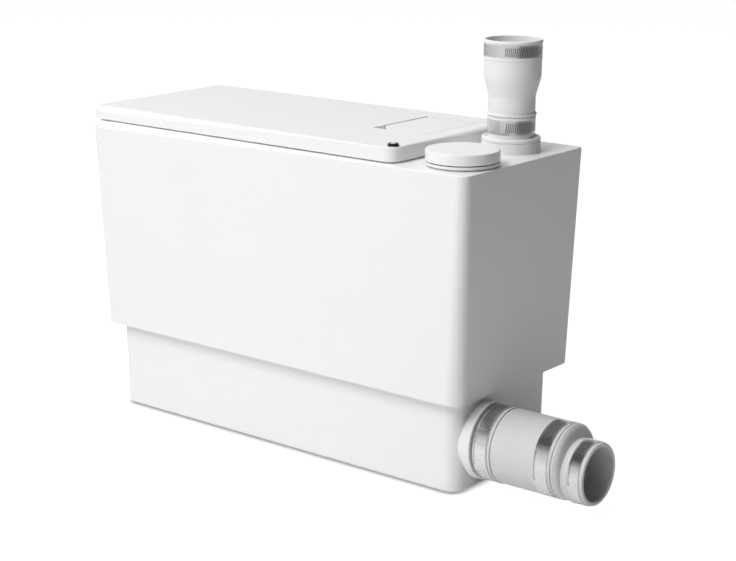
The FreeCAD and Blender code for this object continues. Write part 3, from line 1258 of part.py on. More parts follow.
def riser_grommet():
    collar = rod(GROMMET_R, GROMMET_HEIGHT, point(discharge_x, discharge_y, floor_z))
    core = rod(OUTLET_R + GROMMET_WALL, FLOOR_THICKNESS, point(discharge_x, discharge_y, rim_z))
    return joined([collar, core]).cut(rod(OUTLET_R, FLOOR_THICKNESS + GROMMET_HEIGHT,
                                         point(discharge_x, discharge_y, rim_z)))


def check_valve_seat():
    socket_r = OUTLET_R + VALVE_SOCKET_WALL
    flange_z = SEAT_HEIGHT - SEAT_FLANGE
    profile = [(OUTLET_R, 0), (socket_r, 0), (socket_r, flange_z), (VALVE_R, flange_z),
               (VALVE_R, SEAT_HEIGHT), (OUTLET_BORE_R, SEAT_HEIGHT),
               (OUTLET_BORE_R, VALVE_SOCKET_LENGTH), (OUTLET_R, VALVE_SOCKET_LENGTH)]
    return turned(profile, point(discharge_x, discharge_y, valve_z))


def check_valve_body():
    profile = [(VALVE_CHAMBER_R, 0), (VALVE_R, 0), (VALVE_R, VALVE_BODY_HEIGHT),
               (SPIGOT_BORE_R, VALVE_BODY_HEIGHT),
               (SPIGOT_BORE_R, VALVE_CHAMBER_HEIGHT), (VALVE_CHAMBER_R, VALVE_CHAMBER_HEIGHT)]
    body = turned(profile, point(discharge_x, discharge_y, seat_z))
    return body.cut(check_pin_rod(CHECK_PIN_R))


def check_pin_rod(radius):
    half = math.sqrt(VALVE_CHAMBER_R ** 2 - CHECK_PIN_OFFSET ** 2) + CHECK_PIN_SEAT
    return rod(radius, 2 * half, point(check_pin_x, discharge_y - half, check_pin_z), BACK)


def check_flap():
    """Disc over the valve seat with an arm to its pin."""
    disc_z = seat_z + GAP
    disc = rod(CHECK_FLAP_R, CHECK_FLAP_THICKNESS, point(discharge_x, discharge_y, disc_z))
    arm = block(discharge_x, check_pin_x, discharge_y - CHECK_BARREL_HALF, discharge_y + CHECK_BARREL_HALF,
                disc_z + GAP, disc_z + CHECK_FLAP_THICKNESS + GAP)
    barrel = rod(CHECK_BARREL_R, 2 * CHECK_BARREL_HALF,
                 point(check_pin_x, discharge_y - CHECK_BARREL_HALF, check_pin_z), BACK)
    return joined([disc, arm, barrel]).cut(check_pin_rod(CHECK_PIN_R + RUN))


def discharge_spigot():
    foot = point(discharge_x, discharge_y, seat_z + VALVE_BODY_HEIGHT)
    flange = rod(SPIGOT_FLANGE_R, SPIGOT_FLANGE, foot)
    pipe = rod(SPIGOT_R, deck_z + SPIGOT_REACH - foot.z, foot)
    return joined([flange, pipe]).cut(rod(SPIGOT_BORE_R, deck_z + SPIGOT_REACH - foot.z, foot))


def air_bell():
    """Bell under the floor whose trapped air follows the water level."""
    top = point(switch_x, SWITCH_Y, rim_z - AIR_BELL_LENGTH)
    bell = rod(AIR_BELL_R, AIR_BELL_LENGTH, top)
    bell = bell.cut(rod(AIR_BELL_R - AIR_BELL_WALL, AIR_BELL_LENGTH - AIR_BELL_WALL, top))
    nipple = rod(NIPPLE_R, FLOOR_THICKNESS + NIPPLE_HEIGHT + AIR_BELL_WALL,
                 point(switch_x, SWITCH_Y, rim_z - AIR_BELL_WALL))
    bore = rod(NIPPLE_BORE_R, AIR_BELL_LENGTH + FLOOR_THICKNESS + NIPPLE_HEIGHT, top)
    return joined([bell, nipple]).cut(bore)


def sensing_hose():
    return tube(NIPPLE_R + HOSE_WALL, NIPPLE_R, HOSE_LENGTH, point(switch_x, SWITCH_Y, hose_z))


def pressure_switch():
    base = point(switch_x, SWITCH_Y, switch_z)
    body = rod(SWITCH_R, SWITCH_HEIGHT, base)
    body = body.makeFillet(SWITCH_ROUND, [e for e in body.Edges if len(e.Vertexes) == 1])
    half = SWITCH_BOX / 2
    box = block(switch_x - half, switch_x + half, SWITCH_Y - half, SWITCH_Y + half,
                base.z + SWITCH_HEIGHT, base.z + SWITCH_HEIGHT + SWITCH_BOX_HEIGHT)
    nipple_start = base - point(0, 0, NIPPLE_HEIGHT)
    nipple = rod(NIPPLE_R, NIPPLE_HEIGHT + HOSE_START, nipple_start)
    return joined([body, box, nipple]).cut(rod(NIPPLE_BORE_R, NIPPLE_HEIGHT, nipple_start))


def switch_bracket():
    """Angle plate that stands on the housing's floor behind the switch."""
    y = SWITCH_Y + SWITCH_R
    x0 = switch_x - BRACKET_WIDTH / 2
    x1 = switch_x + BRACKET_WIDTH / 2
    wall = block(x0, x1, y, y + BRACKET_THICKNESS, floor_z, switch_z + SWITCH_HEIGHT)
    foot = block(x0, x1, y, y + BRACKET_FOOT, floor_z, floor_z + BRACKET_THICKNESS)
    return joined([wall, foot])


def capacitor():
    base = point(capacitor_x, CAPACITOR_Y, floor_z)
    can = rod(CAPACITOR_R, CAPACITOR_HEIGHT, base)
    can = can.makeFillet(CAPACITOR_ROUND, edges_near(can, lambda p: near(p.z, floor_z + CAPACITOR_HEIGHT)))
    posts = []
    for side in (-1, 1):
        place = base + point(side * CAPACITOR_R / 2, 0, CAPACITOR_HEIGHT)
        posts.append(rod(CAPACITOR_TERMINAL_R, CAPACITOR_TERMINAL_HEIGHT, place))
    return joined([can] + posts)


def terminal_box():
    x0 = terminal_x - TERMINAL_LENGTH / 2
    y0 = TERMINAL_Y - TERMINAL_WIDTH / 2
    box = block(x0, x0 + TERMINAL_LENGTH, y0, y0 + TERMINAL_WIDTH, floor_z, floor_z + TERMINAL_HEIGHT)
    upright = [edge for edge in box.Edges if near(abs(edge.tangentAt(edge.FirstParameter).z), 1.0)]
    box = box.makeFillet(TERMINAL_ROUND, upright)
    line_z = floor_z + TERMINAL_HEIGHT - 2 * TERMINAL_ROUND
    depth = TERMINAL_GROOVE
    groove = block(x0, x0 + TERMINAL_LENGTH, y0, y0 + TERMINAL_WIDTH, line_z, line_z + depth)
    core = block(x0 + depth, x0 + TERMINAL_LENGTH - depth, y0 + depth, y0 + TERMINAL_WIDTH - depth,
                 line_z, line_z + depth)
    return box.cut(groove.cut(core))


def cable_gland():
    """Screwed inlet for the mains lead in the back wall."""
    inner_end = point(gland_x, gland_pad_y - GLAND_INSIDE, gland_z)
    outer_y = gland_pad_y + GLAND_FLANGE + GLAND_DOME
    thread = rod(GLAND_THREAD_R, GLAND_INSIDE, inner_end, BACK)
    flange = hexagon(GLAND_FLANGE_R, GLAND_FLANGE, point(gland_x, gland_pad_y, gland_z), BACK)
    dome = rod(GLAND_DOME_R, GLAND_DOME, point(gland_x, gland_pad_y + GLAND_FLANGE, gland_z), BACK)
    dome = dome.makeFillet(GLAND_DOME_ROUND, edges_near(dome, lambda p: near(p.y, outer_y)))
    body = joined([thread, flange, dome])
    return body.cut(rod(GLAND_BORE_R, GLAND_INSIDE + GLAND_FLANGE + GLAND_DOME, inner_end, BACK))


def gland_nut():
    start = point(gland_x, gland_pad_y - GLAND_PAD_STAND - HOUSING_WALL - GAP - GLAND_NUT, gland_z)
    nut = hexagon(GLAND_NUT_R, GLAND_NUT, start, BACK)
    return nut.cut(rod(GLAND_THREAD_R, GLAND_NUT, start, BACK))


def worm_group(make_one):
    return Part.makeCompound([make_one(name) for name in clamp_places()])


NODES = {
    "base_pad": base_pad,
    "tank": tank,
    "tank_seal": lambda: seal_ring(0.0),
    "tank_screws": tank_screws,
    "upper_housing": upper_housing,
    "lid_gasket": lid_gasket,
    "lid": lid,
    "lid_screw": lid_screw,
    "filter_hatch": filter_hatch,
    "filter_cartridge": filter_cartridge,
    "hatch_pin": lambda: hatch_pin_rod(HINGE_PIN_R),
    "vent_duct": vent_duct,
    "inlet_duct": inlet_duct,
    "inlet_cap": inlet_cap,
    "cap_seal": cap_seal,
    "discharge_collar": discharge_collar,
    "discharge_coupling": discharge_coupling,
    "coupling_clamp_bands": lambda: clamp_bands(("upper", "lower")),
    "inlet_clamp_bands": lambda: clamp_bands(("near", "far", "small")),
    "clamp_worm_housings": lambda: worm_group(worm_housing),
    "clamp_worm_screws": lambda: worm_group(worm_screw),
    "side_spigot": side_spigot,
    "inlet_flap": inlet_flap,
    "inlet_flap_pin": lambda: flap_pin_rod(FLAP_PIN_R),
    "inlet_sleeve": inlet_sleeve,
    "inlet_adapter": inlet_adapter,
    "motor_plate_gasket": motor_plate_gasket,
    "motor_plate": motor_plate,
    "motor_plate_screws": motor_plate_screws,
    "motor_housing": motor_housing,
    "motor_cap": motor_cap,
    "motor_cap_screws": motor_cap_screws,
    "stator_core": stator_core,
    "stator_windings": stator_windings,
    "lower_bearing": lower_bearing,
    "upper_bearing": upper_bearing,
    "shaft_seal": shaft_seal,
    "shaft": shaft,
    "rotor_core": rotor_core,
    "impeller": impeller,
    "impeller_nut": impeller_nut,
    "volute": volute,
    "suction_cover": suction_cover,
    "suction_cover_screws": suction_cover_screws,
    "outlet_elbow": outlet_elbow,
    "riser_pipe": riser_pipe,
    "riser_grommet": riser_grommet,
    "check_valve_seat": check_valve_seat,
    "check_valve_body": check_valve_body,
    "check_flap": check_flap,
    "check_flap_pin": lambda: check_pin_rod(CHECK_PIN_R),
    "discharge_spigot": discharge_spigot,
    "air_bell": air_bell,
    "sensing_hose": sensing_hose,
    "pressure_switch": pressure_switch,
    "switch_bracket": switch_bracket,
    "capacitor": capacitor,
    "terminal_box": terminal_box,
    "cable_gland": cable_gland,
    "gland_nut": gland_nut,
}

os.makedirs("parts", exist_ok=True)
for node, make in NODES.items():
    shape = make()
    print(node, len(shape.Solids), shape.isValid(), round(shape.Volume, 1))
    shape.exportStep("parts/" + node + ".step")
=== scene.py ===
import math

import bmesh
import bpy
from mathutils import Matrix, Vector


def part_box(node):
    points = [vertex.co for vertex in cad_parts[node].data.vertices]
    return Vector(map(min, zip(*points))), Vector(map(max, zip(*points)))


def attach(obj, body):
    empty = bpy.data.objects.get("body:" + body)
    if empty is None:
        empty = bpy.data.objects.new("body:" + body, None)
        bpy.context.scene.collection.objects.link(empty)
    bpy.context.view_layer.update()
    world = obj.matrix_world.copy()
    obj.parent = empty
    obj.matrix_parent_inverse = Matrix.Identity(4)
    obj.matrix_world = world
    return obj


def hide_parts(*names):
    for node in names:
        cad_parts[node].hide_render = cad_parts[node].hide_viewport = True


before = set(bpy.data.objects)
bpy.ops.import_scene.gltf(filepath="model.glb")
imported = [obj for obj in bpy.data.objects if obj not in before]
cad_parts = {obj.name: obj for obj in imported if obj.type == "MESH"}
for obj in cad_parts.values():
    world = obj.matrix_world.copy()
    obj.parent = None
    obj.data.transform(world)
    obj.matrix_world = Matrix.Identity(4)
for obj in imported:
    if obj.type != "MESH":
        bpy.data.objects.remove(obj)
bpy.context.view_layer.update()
MM = 0.001

# Camera
# The pump is seen from the front right and a little above, through a long lens.
# The place and the direction come from the straight edges of the housing in the photograph.
CAMERA_PLACE = Vector((867.44, -1035.05, 476.91)) * MM
CAMERA_YAW = math.radians(38.531)
CAMERA_PITCH = math.radians(14.672)
CAMERA_ROLL = math.radians(0.222)
IMAGE_WIDTH = 736
FOCAL_PIXELS = 1740.15
SENSOR = 36.0
NEAR_LIMIT = 0.05
FAR_LIMIT = 20.0

toward_camera = Vector((math.sin(CAMERA_YAW) * math.cos(CAMERA_PITCH),
                        -math.cos(CAMERA_YAW) * math.cos(CAMERA_PITCH),
                        math.sin(CAMERA_PITCH)))
level_right = Vector((math.cos(CAMERA_YAW), math.sin(CAMERA_YAW), 0.0))
level_up = toward_camera.cross(level_right)
image_right = level_right * math.cos(CAMERA_ROLL) + level_up * math.sin(CAMERA_ROLL)
image_up = level_up * math.cos(CAMERA_ROLL) - level_right * math.sin(CAMERA_ROLL)

lens = bpy.data.cameras.new("product_lens")
lens.sensor_fit = "HORIZONTAL"
lens.sensor_width = SENSOR
lens.lens = FOCAL_PIXELS * SENSOR / IMAGE_WIDTH
lens.clip_start = NEAR_LIMIT
lens.clip_end = FAR_LIMIT
camera = bpy.data.objects.new("product_camera", lens)
camera_turn = Matrix((image_right, image_up, toward_camera)).transposed()
camera.matrix_world = Matrix.Translation(CAMERA_PLACE) @ camera_turn.to_4x4()
bpy.context.scene.collection.objects.link(camera)
bpy.context.scene.camera = camera
bpy.context.scene.view_settings.view_transform = "Standard"


# Studio
# A white table and surround with four soft boxes. A grey card on the right shows only in reflections.
# The floor glows where it is looked at and keeps the pump's shadow, and its glow darkens in a thin line
# close to the tank's foot as a painted contact shadow. In reflections the surround darkens upwards, as a
# studio's ceiling does.
FLOOR_HALF = 6.0
FLOOR_PAINT = 0.82
FLOOR_SEEN_PAINT = 0.16
FLOOR_SEEN_GLOW = 0.97
FLOOR_MIRRORED_PAINT = 0.75
FLOOR_MIRRORED_GLOW = 0.20
CONTACT_REACH = 0.005
CONTACT_SHADOW_GLOW = 0.25
SURROUND_LIGHT = 0.06
SURROUND_TINT = (0.95, 0.94, 1.0, 1.0)
BACKDROP_WHITE = (1.0, 1.0, 1.0, 1.0)
HORIZON_MIRRORED = (0.8, 0.8, 0.8, 1.0)
CEILING_MIRRORED = 0.12     # share of the horizon's light that is left overhead
CEILING_STARTS = 0.30       # the fade's two ends, as the upward part of the direction
CEILING_FULL = 0.62
SOFTBOX_COLOR = (1.0, 0.998, 0.995)
PUMP_MIDDLE = Vector((0.0, 0.0, 0.14))
SOFTBOXES = (     # name, place from the pump's middle, width, height and watts
    ("left_softbox", Vector((-1.15, -0.35, 2.05)), 2.3, 2.3, 23.0),
    ("front_softbox", Vector((-0.15, -1.75, 1.75)), 1.2, 1.2, 39.5),
    ("top_softbox", Vector((-0.15, -0.05, 1.9)), 1.0, 1.0, 9.0),
    ("low_softbox", Vector((0.1, -2.6, 0.30)), 1.8, 0.7, 7.5))
CARD_X = 0.85
CARD_FRONT = -0.45
CARD_BACK = 1.60
CARD_HEIGHT = 0.9
CARD_SHADE = 0.15


def new_material(name):
    """Empty node material with its output, and the tree to build it in."""
    material = bpy.data.materials.new(name)
    material.use_nodes = True
    tree = material.node_tree
    tree.nodes.clear()
    output = tree.nodes.new("ShaderNodeOutputMaterial")
    return material, tree, output


def add_math(tree, operation, first, second):
    """Math node of two numbers or sockets."""
    node = tree.nodes.new("ShaderNodeMath")
    node.operation = operation
    for place, value in enumerate((first, second)):
        if isinstance(value, (int, float)):
            node.inputs[place].default_value = value
        else:
            tree.links.new(value, node.inputs[place])
    return node.outputs[0]


def add_mix(tree, share, first, second):
    """Goes over from the first shader to the second by a share."""
    choice = tree.nodes.new("ShaderNodeMixShader")
    tree.links.new(share, choice.inputs[0])
    tree.links.new(first, choice.inputs[1])
    tree.links.new(second, choice.inputs[2])
    return choice.outputs[0]


def make_plate(name, corners, material):
    """Flat studio piece with four corners."""
    mesh = bpy.data.meshes.new(name)
    mesh.from_pydata(corners, [], [(0, 1, 2, 3)])
    mesh.materials.append(material)
    plate = bpy.data.objects.new(name, mesh)
    bpy.context.scene.collection.objects.link(plate)
    return plate


def build_white_floor():
    """Plain paint for the light that it throws back; a thin paint and a glow where it is looked at."""
    material, tree, output = new_material("white_floor")
    paint = tree.nodes.new("ShaderNodeBsdfDiffuse")
    paint.inputs["Color"].default_value = (FLOOR_PAINT, FLOOR_PAINT, FLOOR_PAINT, 1.0)
    path = tree.nodes.new("ShaderNodeLightPath")
    looked_at = add_math(tree, "MAXIMUM", path.outputs["Is Camera Ray"], path.outputs["Is Transmission Ray"])
    # Painted contact shadow: ambient occlusion darkens the floor's glow close under the pump.
    contact_shadow = tree.nodes.new("ShaderNodeAmbientOcclusion")
    contact_shadow.inputs["Distance"].default_value = CONTACT_REACH
    open_share = tree.nodes.new("ShaderNodeMapRange")
    open_share.inputs["To Min"].default_value = CONTACT_SHADOW_GLOW
    tree.links.new(contact_shadow.outputs["AO"], open_share.inputs["Value"])
    surface = paint.outputs[0]
    for ray, shade, strength in ((path.outputs["Is Glossy Ray"], FLOOR_MIRRORED_PAINT, FLOOR_MIRRORED_GLOW),
                                 (looked_at, FLOOR_SEEN_PAINT, FLOOR_SEEN_GLOW)):
        thin_paint = tree.nodes.new("ShaderNodeBsdfDiffuse")
        thin_paint.inputs["Color"].default_value = (shade, shade, shade, 1.0)
        glow = tree.nodes.new("ShaderNodeEmission")
        tree.links.new(add_math(tree, "MULTIPLY", open_share.outputs[0], strength), glow.inputs["Strength"])
        both = tree.nodes.new("ShaderNodeAddShader")
        tree.links.new(thin_paint.outputs[0], both.inputs[0])
        tree.links.new(glow.outputs[0], both.inputs[1])
        surface = add_mix(tree, ray, surface, both.outputs[0])
    tree.links.new(surface, output.inputs["Surface"])
    return material


def build_dark_card():
    """Even grey that takes no shadow."""
    material, tree, output = new_material("dark_card")
    shade = tree.nodes.new("ShaderNodeEmission")
    shade.inputs["Strength"].default_value = CARD_SHADE
    tree.links.new(shade.outputs[0], output.inputs["Surface"])
    return material


def make_surround():
    """White to the camera, a dim fill for the pump, and a horizon with a dark ceiling in reflections."""
    world = bpy.data.worlds.new("studio_surround")
    bpy.context.scene.world = world
    world.use_nodes = True
    tree = world.node_tree
    tree.nodes.clear()
    light = tree.nodes.new("ShaderNodeBackground")
    light.inputs["Strength"].default_value = SURROUND_LIGHT
    light.inputs["Color"].default_value = SURROUND_TINT
    backdrop = tree.nodes.new("ShaderNodeBackground")
    backdrop.inputs["Color"].default_value = BACKDROP_WHITE
    mirrored = tree.nodes.new("ShaderNodeBackground")
    mirrored.inputs["Color"].default_value = HORIZON_MIRRORED
    direction = tree.nodes.new("ShaderNodeTexCoord")
    parts = tree.nodes.new("ShaderNodeSeparateXYZ")
    tree.links.new(direction.outputs["Generated"], parts.inputs[0])
    fade = tree.nodes.new("ShaderNodeMapRange")
    fade.inputs["From Min"].default_value = CEILING_STARTS
    fade.inputs["From Max"].default_value = CEILING_FULL
    fade.inputs["To Min"].default_value = 1.0
    fade.inputs["To Max"].default_value = CEILING_MIRRORED
    tree.links.new(parts.outputs["Z"], fade.inputs["Value"])
    tree.links.new(fade.outputs[0], mirrored.inputs["Strength"])
    path = tree.nodes.new("ShaderNodeLightPath")
    seen = add_math(tree, "MAXIMUM", path.outputs["Is Camera Ray"], path.outputs["Is Transmission Ray"])
    dull = add_mix(tree, path.outputs["Is Glossy Ray"], light.outputs[0], mirrored.outputs[0])
    output = tree.nodes.new("ShaderNodeOutputWorld")
    tree.links.new(add_mix(tree, seen, dull, backdrop.outputs[0]), output.inputs["Surface"])


def add_softbox(name, offset, width, height, power):
    """Soft box that faces the pump's middle and doesn't show in reflections."""
    lamp = bpy.data.lights.new(name, "AREA")
    lamp.shape = "RECTANGLE"
    lamp.size = width
    lamp.size_y = height
    lamp.energy = power
    lamp.color = SOFTBOX_COLOR
    holder = bpy.data.objects.new(name, lamp)
    holder.location = PUMP_MIDDLE + offset
    holder.rotation_euler = (-offset).to_track_quat("-Z", "Y").to_euler()
    holder.visible_glossy = False
    holder.visible_camera = False
    bpy.context.scene.collection.objects.link(holder)


floor = make_plate("studio_floor", ((-FLOOR_HALF, -FLOOR_HALF, 0.0), (FLOOR_HALF, -FLOOR_HALF, 0.0),
                                    (FLOOR_HALF, FLOOR_HALF, 0.0), (-FLOOR_HALF, FLOOR_HALF, 0.0)),
                   build_white_floor())
make_surround()
for softbox in SOFTBOXES:
    add_softbox(*softbox)
card = make_plate("dark_card", ((CARD_X, CARD_FRONT, 0.0), (CARD_X, CARD_BACK, 0.0),
                                (CARD_X, CARD_BACK, CARD_HEIGHT), (CARD_X, CARD_FRONT, CARD_HEIGHT)),
                  build_dark_card())
card.visible_camera = False
card.visible_diffuse = False
card.visible_transmission = False
card.visible_shadow = False


# Tank and base pad
# The tank is one injection-moulded box of satin white plastic, open at the top.
# It stands on a thin pad of black rubber that is glued under its floor.
# Moulded plastic is never quite even: it has faint flow marks, a fine grain and some handling sheen.
FLOW_SCALE = 9.0     # this and the other scales are in noise cells per metre
FLOW_DETAIL = 3.0
HANDLING_SCALE = 34.0
HANDLING_DETAIL = 4.0
GRAIN_DETAIL = 2.0
COAT_ROUGHNESS = 0.15
RELIEF_STRENGTH = 0.35


def group_socket(tree, name, kind, direction, value=None):
    """Input or output of a node group, with its usual value."""
    socket = tree.interface.new_socket(name=name, in_out=direction, socket_type=kind)
    if value is not None:
        socket.default_value = value


def start_pattern(name, inputs):
    """Node group that puts out a colour, a roughness and a height that vary over a surface."""
    tree = bpy.data.node_groups.new(name, "ShaderNodeTree")
    for label, kind, value in inputs:
        group_socket(tree, label, kind, "INPUT", value)
    group_socket(tree, "Color", "NodeSocketColor", "OUTPUT")
    group_socket(tree, "Roughness", "NodeSocketFloat", "OUTPUT")
    group_socket(tree, "Height", "NodeSocketFloat", "OUTPUT")
    given = tree.nodes.new("NodeGroupInput")
    result = tree.nodes.new("NodeGroupOutput")
    return tree, given, result


def add_noise(tree, coordinates, scale, detail):
    """Noise from 0 to 1 at a scale that is a number or a socket."""
    noise = tree.nodes.new("ShaderNodeTexNoise")
    noise.inputs["Detail"].default_value = detail
    tree.links.new(coordinates, noise.inputs["Vector"])
    if isinstance(scale, (int, float)):
        noise.inputs["Scale"].default_value = scale
    else:
        tree.links.new(scale, noise.inputs["Scale"])
    return noise.outputs["Fac"]


def add_color_mix(tree, share, first, second):
    """Goes over from the first colour to the second by a share."""
    shade = tree.nodes.new("ShaderNodeMix")
    shade.data_type = "RGBA"
    tree.links.new(share, shade.inputs["Factor"])
    tree.links.new(first, shade.inputs["A"])
    tree.links.new(second, shade.inputs["B"])
    return shade.outputs["Result"]


def build_moulded_skin():
    """Flow marks in the colour, handling marks in the roughness, grain in the height."""
    tree, given, result = start_pattern("moulded_skin", (
        ("Color", "NodeSocketColor", (0.8, 0.8, 0.8, 1.0)),
        ("Flow Color", "NodeSocketColor", (0.78, 0.78, 0.78, 1.0)),
        ("Roughness", "NodeSocketFloat", 0.35),
        ("Sheen Variation", "NodeSocketFloat", 0.06),
        ("Grain Scale", "NodeSocketFloat", 1600.0)))
    place = tree.nodes.new("ShaderNodeTexCoord").outputs["Object"]
    flow = add_noise(tree, place, FLOW_SCALE, FLOW_DETAIL)
    handling = add_noise(tree, place, HANDLING_SCALE, HANDLING_DETAIL)
    grain = add_noise(tree, place, given.outputs["Grain Scale"], GRAIN_DETAIL)
    color = add_color_mix(tree, flow, given.outputs["Color"], given.outputs["Flow Color"])
    swing = add_math(tree, "MULTIPLY", add_math(tree, "SUBTRACT", handling, 0.5),
                     given.outputs["Sheen Variation"])
    tree.links.new(color, result.inputs["Color"])
    tree.links.new(add_math(tree, "ADD", given.outputs["Roughness"], swing), result.inputs["Roughness"])
    tree.links.new(grain, result.inputs["Height"])
    return tree


def finished(name, pattern, values, relief, metallic=0.0, coat=0.0):
    """Material that takes its colour, roughness and relief from a pattern with its own values."""
    material, tree, output = new_material(name)
    skin = tree.nodes.new("ShaderNodeGroup")
    skin.node_tree = pattern
    for label, value in values.items():
        skin.inputs[label].default_value = value
    shader = tree.nodes.new("ShaderNodeBsdfPrincipled")
    shader.inputs["Metallic"].default_value = metallic
    shader.inputs["Coat Weight"].default_value = coat
    shader.inputs["Coat Roughness"].default_value = COAT_ROUGHNESS
    bump = tree.nodes.new("ShaderNodeBump")
    bump.inputs["Strength"].default_value = RELIEF_STRENGTH
    bump.inputs["Distance"].default_value = relief
    tree.links.new(skin.outputs["Color"], shader.inputs["Base Color"])
    tree.links.new(skin.outputs["Roughness"], shader.inputs["Roughness"])
    tree.links.new(skin.outputs["Height"], bump.inputs["Height"])
    tree.links.new(bump.outputs["Normal"], shader.inputs["Normal"])
    tree.links.new(shader.outputs[0], output.inputs["Surface"])
    return material


def dress(material, *names):
    """Gives carried-over pieces their finish."""
    for name in names:
        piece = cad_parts[name]
        piece.data.materials.clear()
        piece.data.materials.append(material)


MOULDED_SKIN = build_moulded_skin()
WHITE_PLASTIC = finished("white_plastic", MOULDED_SKIN,
                         {"Color": (0.86, 0.86, 0.862, 1.0), "Flow Color": (0.84, 0.84, 0.843, 1.0),
                          "Roughness": 0.36, "Grain Scale": 1500.0}, relief=0.02 * MM, coat=0.1)
BLACK_RUBBER = finished("black_rubber", MOULDED_SKIN,
                        {"Color": (0.045, 0.045, 0.048, 1.0), "Flow Color": (0.035, 0.035, 0.037, 1.0),
                         "Roughness": 0.62, "Sheen Variation": 0.12, "Grain Scale": 900.0},
                        relief=0.05 * MM)
dress(WHITE_PLASTIC, "tank")
dress(BLACK_RUBBER, "base_pad")


# Motor housing
# The wide upper box is moulded in the same white plastic, with a soft front edge and crisp ends.
# Eight steel screws hold it on the tank over a rubber seal, and a rubber gasket lies on its curb.
LINE_DETAIL = 3.0
SMUDGE_SCALE = 120.0
SMUDGE_DETAIL = 3.0
SMUDGE_SWING = 0.12


def build_drawn_metal():
    """Fine lines along one direction, as on rolled strip, drawn wire and stacked sheet."""
    tree, given, result = start_pattern("drawn_metal", (
        ("Color", "NodeSocketColor", (0.6, 0.6, 0.6, 1.0)),
        ("Line Color", "NodeSocketColor", (0.5, 0.5, 0.5, 1.0)),
        ("Roughness", "NodeSocketFloat", 0.3),
        ("Line Stretch", "NodeSocketVector", (60.0, 60.0, 2500.0))))
    place = tree.nodes.new("ShaderNodeTexCoord").outputs["Object"]
    stretch = tree.nodes.new("ShaderNodeVectorMath")
    stretch.operation = "MULTIPLY"
    tree.links.new(place, stretch.inputs[0])
    tree.links.new(given.outputs["Line Stretch"], stretch.inputs[1])
    lines = add_noise(tree, stretch.outputs[0], 1.0, LINE_DETAIL)
    smudges = add_noise(tree, place, SMUDGE_SCALE, SMUDGE_DETAIL)
    color = add_color_mix(tree, lines, given.outputs["Color"], given.outputs["Line Color"])
    swing = add_math(tree, "MULTIPLY", add_math(tree, "SUBTRACT", smudges, 0.5), SMUDGE_SWING)
    tree.links.new(color, result.inputs["Color"])
    tree.links.new(add_math(tree, "ADD", given.outputs["Roughness"], swing), result.inputs["Roughness"])
    tree.links.new(lines, result.inputs["Height"])
    return tree


DRAWN_METAL = build_drawn_metal()
STAINLESS = finished("stainless_steel", DRAWN_METAL,
                     {"Color": (0.62, 0.62, 0.62, 1.0), "Line Color": (0.5, 0.5, 0.505, 1.0),
                      "Roughness": 0.3, "Line Stretch": (400.0, 400.0, 900.0)},
                     relief=0.01 * MM, metallic=1.0)
dress(WHITE_PLASTIC, "upper_housing")
dress(BLACK_RUBBER, "tank_seal", "lid_gasket")
dress(STAINLESS, "tank_screws")


# Motor
# A standing induction motor: a die-cast plate and cap, a drawn can, a stack of steel sheets with
# copper windings, and the rotor on a ground shaft in two ball bearings.
CAST_ALUMINIUM = finished("cast_aluminium", MOULDED_SKIN,
                          {"Color": (0.66, 0.665, 0.67, 1.0), "Flow Color": (0.58, 0.585, 0.59, 1.0),
                           "Roughness": 0.45, "Sheen Variation": 0.2, "Grain Scale": 700.0},
                          relief=0.08 * MM, metallic=1.0)
DRAWN_CAN = finished("drawn_aluminium", DRAWN_METAL,
                     {"Color": (0.7, 0.7, 0.71, 1.0), "Line Color": (0.6, 0.6, 0.61, 1.0),
                      "Roughness": 0.34, "Line Stretch": (500.0, 500.0, 40.0)},
                     relief=0.02 * MM, metallic=1.0)
STACKED_SHEET = finished("stacked_sheet", DRAWN_METAL,
                         {"Color": (0.32, 0.32, 0.33, 1.0), "Line Color": (0.14, 0.14, 0.145, 1.0),
                          "Roughness": 0.42, "Line Stretch": (6.0, 6.0, 2000.0)},
                         relief=0.1 * MM, metallic=1.0)
COPPER_WIRE = finished("copper_wire", DRAWN_METAL,
                       {"Color": (0.72, 0.34, 0.16, 1.0), "Line Color": (0.36, 0.15, 0.06, 1.0),
                        "Roughness": 0.3, "Line Stretch": (1400.0, 1400.0, 1400.0)},
                       relief=0.3 * MM, metallic=1.0, coat=0.6)
dress(CAST_ALUMINIUM, "motor_plate", "motor_cap")
dress(DRAWN_CAN, "motor_housing")
dress(STACKED_SHEET, "stator_core", "rotor_core")
dress(COPPER_WIRE, "stator_windings")
dress(STAINLESS, "motor_plate_screws", "motor_cap_screws", "lower_bearing", "upper_bearing", "shaft")
dress(BLACK_RUBBER, "motor_plate_gasket", "shaft_seal")


# Pump
# The casing hangs under the motor plate in the tank, with an open wheel and a slotted strainer.
# All of it is glass-filled grey plastic, held by small stainless screws and one hexagon nut.
GREY_PLASTIC = finished("grey_plastic", MOULDED_SKIN,
                        {"Color": (0.2, 0.205, 0.215, 1.0), "Flow Color": (0.17, 0.175, 0.185, 1.0),
                         "Roughness": 0.48, "Sheen Variation": 0.1, "Grain Scale": 1100.0},
                        relief=0.05 * MM)
dress(GREY_PLASTIC, "volute", "suction_cover", "impeller")
dress(STAINLESS, "suction_cover_screws", "impeller_nut")


# Pressure pipe and check valve
# Solvent-welded grey pipe leads from the pump through a rubber grommet up to the valve.
# The valve's rubber disc swings on a steel pin and keeps water from running back.
dress(GREY_PLASTIC, "outlet_elbow", "riser_pipe", "check_valve_seat", "check_valve_body",
      "discharge_spigot")
dress(BLACK_RUBBER, "riser_grommet", "check_flap")
dress(STAINLESS, "check_flap_pin")


# Level control
# Air trapped under the bell rises with the water and works the switch through a rubber hose.
# The switch leans on a bent strip of steel on the housing's floor.
dress(GREY_PLASTIC, "air_bell", "pressure_switch")
dress(BLACK_RUBBER, "sensing_hose")
dress(STAINLESS, "switch_bracket")


